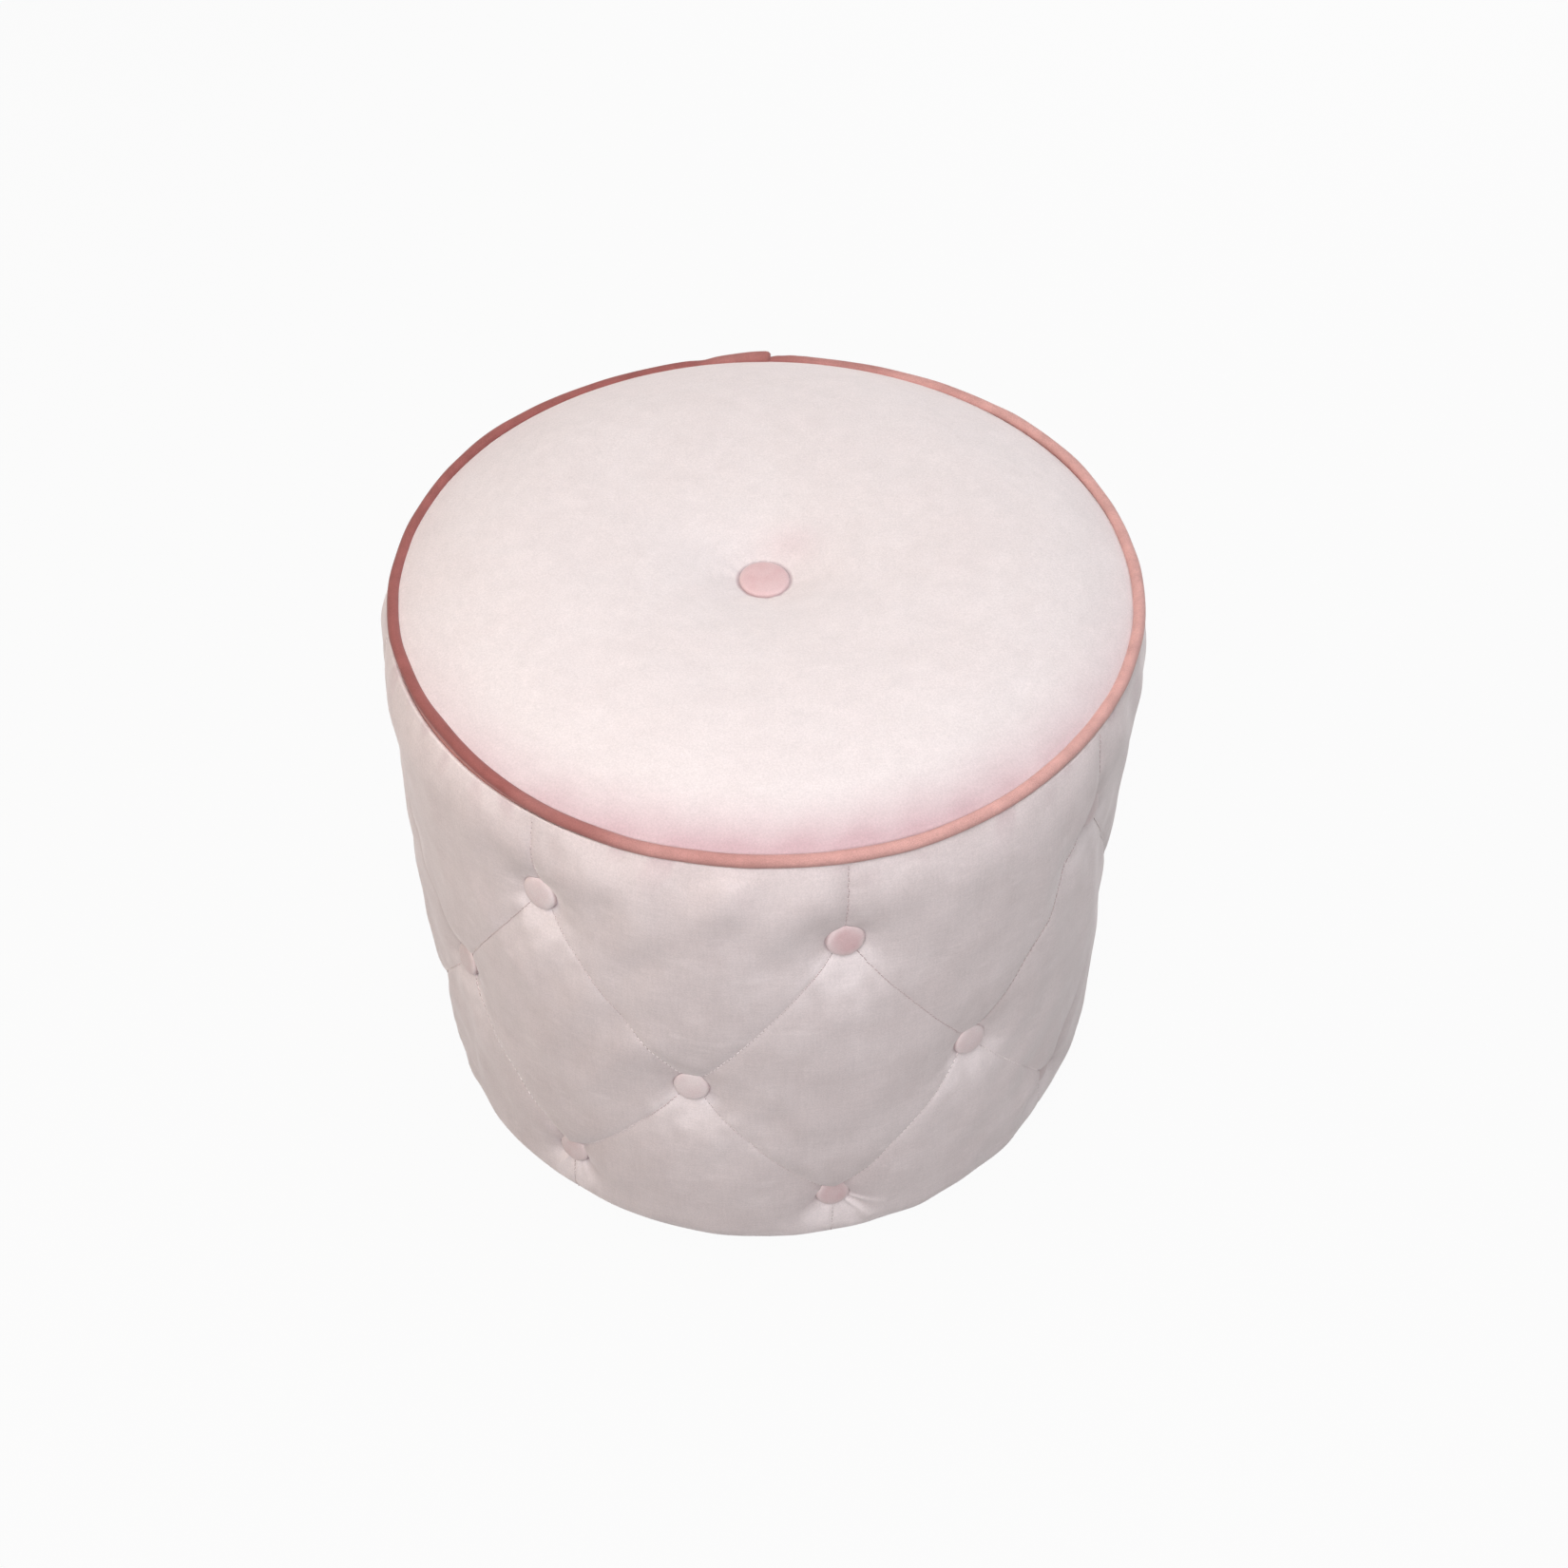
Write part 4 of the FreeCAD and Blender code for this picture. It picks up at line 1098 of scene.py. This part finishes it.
coveredButton = {
    "sides": 64,
    "sideHeight": 5.0 * mm,
    "seatHeight": 5.2 * mm,
    "tilt": 3.5,  # degrees, at random
    "unevenness": 0.12 * mm,
    "faceUp": {"upper": 12, "middle": 12, "lower": 13},  # degrees by which the dents turn them up
    "tints": {"upper": (0.1, 0.5), "middle": (0.0, 0.15), "lower": (0.1, 0.5)},  # how pink each row turns
    # painted sheen: buttons turned away from the front get paler tints, those facing it pinker ones
    "paintedSheenTints": {"upperButton1": 0.05, "upperButton2": 0.72, "upperButton3": 0.1, "lowerButton1": 0.15,
            "lowerButton2": 0.55, "lowerButton3": 0.1},
    "seatTint": 0.75,
    "fade": 0.6,  # the pink fades by this share towards the rim, a painted highlight
    "highlightFrom": 0.6,  # from here outwards, in shares of the radius
    "seatHighlightFrom": 0.85,
    "highlightLength": 0.3,
    "rimPressed": (0.75, 0.70, 0.12), # painted crease shadow at the rim: share, the rise below which it begins, and how soon it is full
    "bed": 0.3 * mm,  # a button stands this far clear of its dent's floor
    "profile": [  # (out, rise) in shares of the radius and the height
        (0.2, 0.995), (0.4, 0.98), (0.56, 0.96), (0.70, 0.93), (0.80, 0.895), (0.88, 0.84), (0.94, 0.76),
        (0.98, 0.65), (1.0, 0.50), (1.0, 0.30), (0.98, 0.12), (0.93, 0.0), (0.5, 0.0),
    ],
}


def makeButton(name, node, centre, outward, radius, height, cfg, seed, tint, faceUp, highlightFrom):
    draw = np.random.default_rng(seed)
    sides, profile = cfg["sides"], cfg["profile"]
    turn = fullTurn(sides)
    sway = [draw.uniform(0, 2 * math.pi) for _ in range(4)]
    wave = sum(np.sin((k + 2) * turn + sway[k]) for k in range(4)) / 4 * cfg["unevenness"]
    rings = [np.array([[0, 0, height]])]
    for out, rise in profile:
        r = radius * out + wave * out
        rings.append(np.stack([r * np.cos(turn), r * np.sin(turn), height * rise + 0 * turn], axis=-1))
    points = np.concatenate(rings)
    faces = [(0, 1 + k, 1 + (k + 1) % sides) for k in range(sides)]
    faces += list(gridFaces(len(profile), sides, 1, flip=True))
    faces.append(tuple(1 + (len(profile) - 1) * sides + k for k in range(sides))[::-1])
    tilt = [math.radians(t) for t in draw.normal(0, cfg["tilt"] / 2, 2)]
    turnTo = Vector(outward).to_track_quat("Z", "Y").to_matrix()
    lean = Matrix.Rotation(tilt[0] - math.radians(faceUp), 3, "X") @ Matrix.Rotation(tilt[1], 3, "Y")
    points = points @ np.array(turnTo @ lean).T + np.array(centre)
    piece = meshPiece(name, points, faces)
    # the face turns pinker by its tint, turns paler towards the rim in a painted highlight, and a painted
    # crease shadow darkens the rim
    spread = np.concatenate([[0], np.repeat([out for out, rise in profile], sides)])
    rise = np.concatenate([[1], np.repeat([rise for out, rise in profile], sides)])
    fade = unit((spread - highlightFrom) / cfg["highlightLength"])
    setAttribute(piece, "blush", tint * (1 - cfg["fade"] * fade))
    share, below, length = cfg["rimPressed"]
    setAttribute(piece, "creaseShadow", share * unit((below - rise) / length))
    dressPiece(piece, finishes["button_velvet"], "button_velvet", node)


def makeButtons(cfg):
    for row, _, shift in buttonRows:
        seat = crestRadius - sidePad["tuftDepth"] + cfg["bed"] - (row == "lower") * sidePad["lowerExtra"]
        for index in range(columnCount):
            node, name = f"{row}_button_{index + 1}", f"{row}Button{index + 1}"
            azimuth = firstColumn + (2 * index + shift) * halfPitch
            out = Vector((math.sin(azimuth), -math.cos(azimuth), 0))
            place = Vector((out.x * seat, out.y * seat, boxCentre(node).z))
            tint = cfg["paintedSheenTints"].get(name, rng.uniform(*cfg["tints"][row]))
            makeButton(name, node, place, out, buttonRadius, cfg["sideHeight"], cfg, 100 * index + len(row),
                       tint, cfg["faceUp"][row], cfg["highlightFrom"])
    makeButton("seatButton", "seat_button", Vector((0, 0, seatButtonLow.z)), Vector((0, 0, 1)), seatButton,
               cfg["seatHeight"], cfg, 7, cfg["seatTint"], 0, cfg["seatHighlightFrom"])
    print(f"buttons: {3 * columnCount + 1}")


makeButtons(coveredButton)


# Studio

studio = {
    "floorSize": 12.0,
    "floorHeight": -0.2 * mm,  # just under the glides, so that no two faces lie in one plane
    "floorGrey": 0.33,
    "floorRoughness": 0.9,
    "floorWhite": 0.95,  # share of plain white in what the camera sees of it
    "world": 0.17,
    "worldColour": (1.0, 0.99, 0.985, 1),
    "aim": (0, 0, 0.2),  # the lamps point here
    "lamps": [  # (name, place, size, watts, colour)
        ("keyLamp", (-0.12, -0.95, 1.3), 0.7, 14.4, (1.0, 0.985, 0.985)),
        ("ceilingLamp", (0.2, 0.15, 2.2), 1.4, 10.2, (0.99, 0.99, 1.0)),
        ("leftLamp", (-0.9, -0.2, 1.0), 0.6, 2.5, (1.0, 0.70, 0.43)),
        ("rightLamp", (1.5, -0.6, 1.3), 1.0, 3.0, (0.97, 0.98, 1.0)),
        ("backLamp", (0.5, 1.55, 0.75), 1.2, 11.0, (1.0, 0.99, 0.985)),
    ],
}


def cameraOrMirror(tree):
    # 1 for rays that come from the camera or from a mirror-like surface
    path = tree.nodes.new("ShaderNodeLightPath")
    either = path.outputs["Is Camera Ray"]
    for ray in ("Is Glossy Ray", "Is Transmission Ray"):
        largest = tree.nodes.new("ShaderNodeMath")
        largest.operation = "MAXIMUM"
        tree.links.new(either, largest.inputs[0])
        tree.links.new(path.outputs[ray], largest.inputs[1])
        either = largest.outputs[0]
    return either


def mixInto(tree, share, first, second, output):
    mix = tree.nodes.new("ShaderNodeMixShader")
    for socket, source in zip(mix.inputs, (share, first.outputs[0], second.outputs[0])):
        tree.links.new(source, socket)
    tree.links.new(mix.outputs[0], tree.nodes[output].inputs["Surface"])


def makeStudio(cfg):
    world = bpy.data.worlds.new("studioWorld")
    scene.world = world
    world.use_nodes = True
    tree = world.node_tree
    soft = tree.nodes["Background"]
    soft.inputs["Color"].default_value = cfg["worldColour"]
    soft.inputs["Strength"].default_value = cfg["world"]
    white = tree.nodes.new("ShaderNodeBackground")
    white.inputs["Color"].default_value = (1, 1, 1, 1)
    mixInto(tree, cameraOrMirror(tree), soft, white, "World Output")

    half = cfg["floorSize"] / 2
    corners = [(x * half, y * half, cfg["floorHeight"]) for x, y in ((-1, -1), (1, -1), (1, 1), (-1, 1))]
    floor = meshPiece("studioFloor", corners, [(0, 1, 2, 3)], smooth=False)
    paper = Finish("studioFloor")
    paper.put(Base_Color=(*[cfg["floorGrey"]] * 3, 1), Roughness=cfg["floorRoughness"])
    share = paper.math("MULTIPLY", cameraOrMirror(paper.tree), cfg["floorWhite"])
    mixInto(paper.tree, share, paper.shader, paper.node("Emission"), "Material Output")
    floor.data.materials.append(paper.material)

    for name, place, size, watts, colour in cfg["lamps"]:
        data = bpy.data.lights.new(name, "AREA")
        data.size = size
        data.energy = watts
        data.color = colour
        lamp = bpy.data.objects.new(name, data)
        lamp.location = place
        aim = Vector(cfg["aim"]) - Vector(place)
        lamp.rotation_euler = aim.to_track_quat("-Z", "Y").to_euler()
        scene.collection.objects.link(lamp)
    scene.view_settings.view_transform = "Standard"
    print("studio set")


makeStudio(studio)
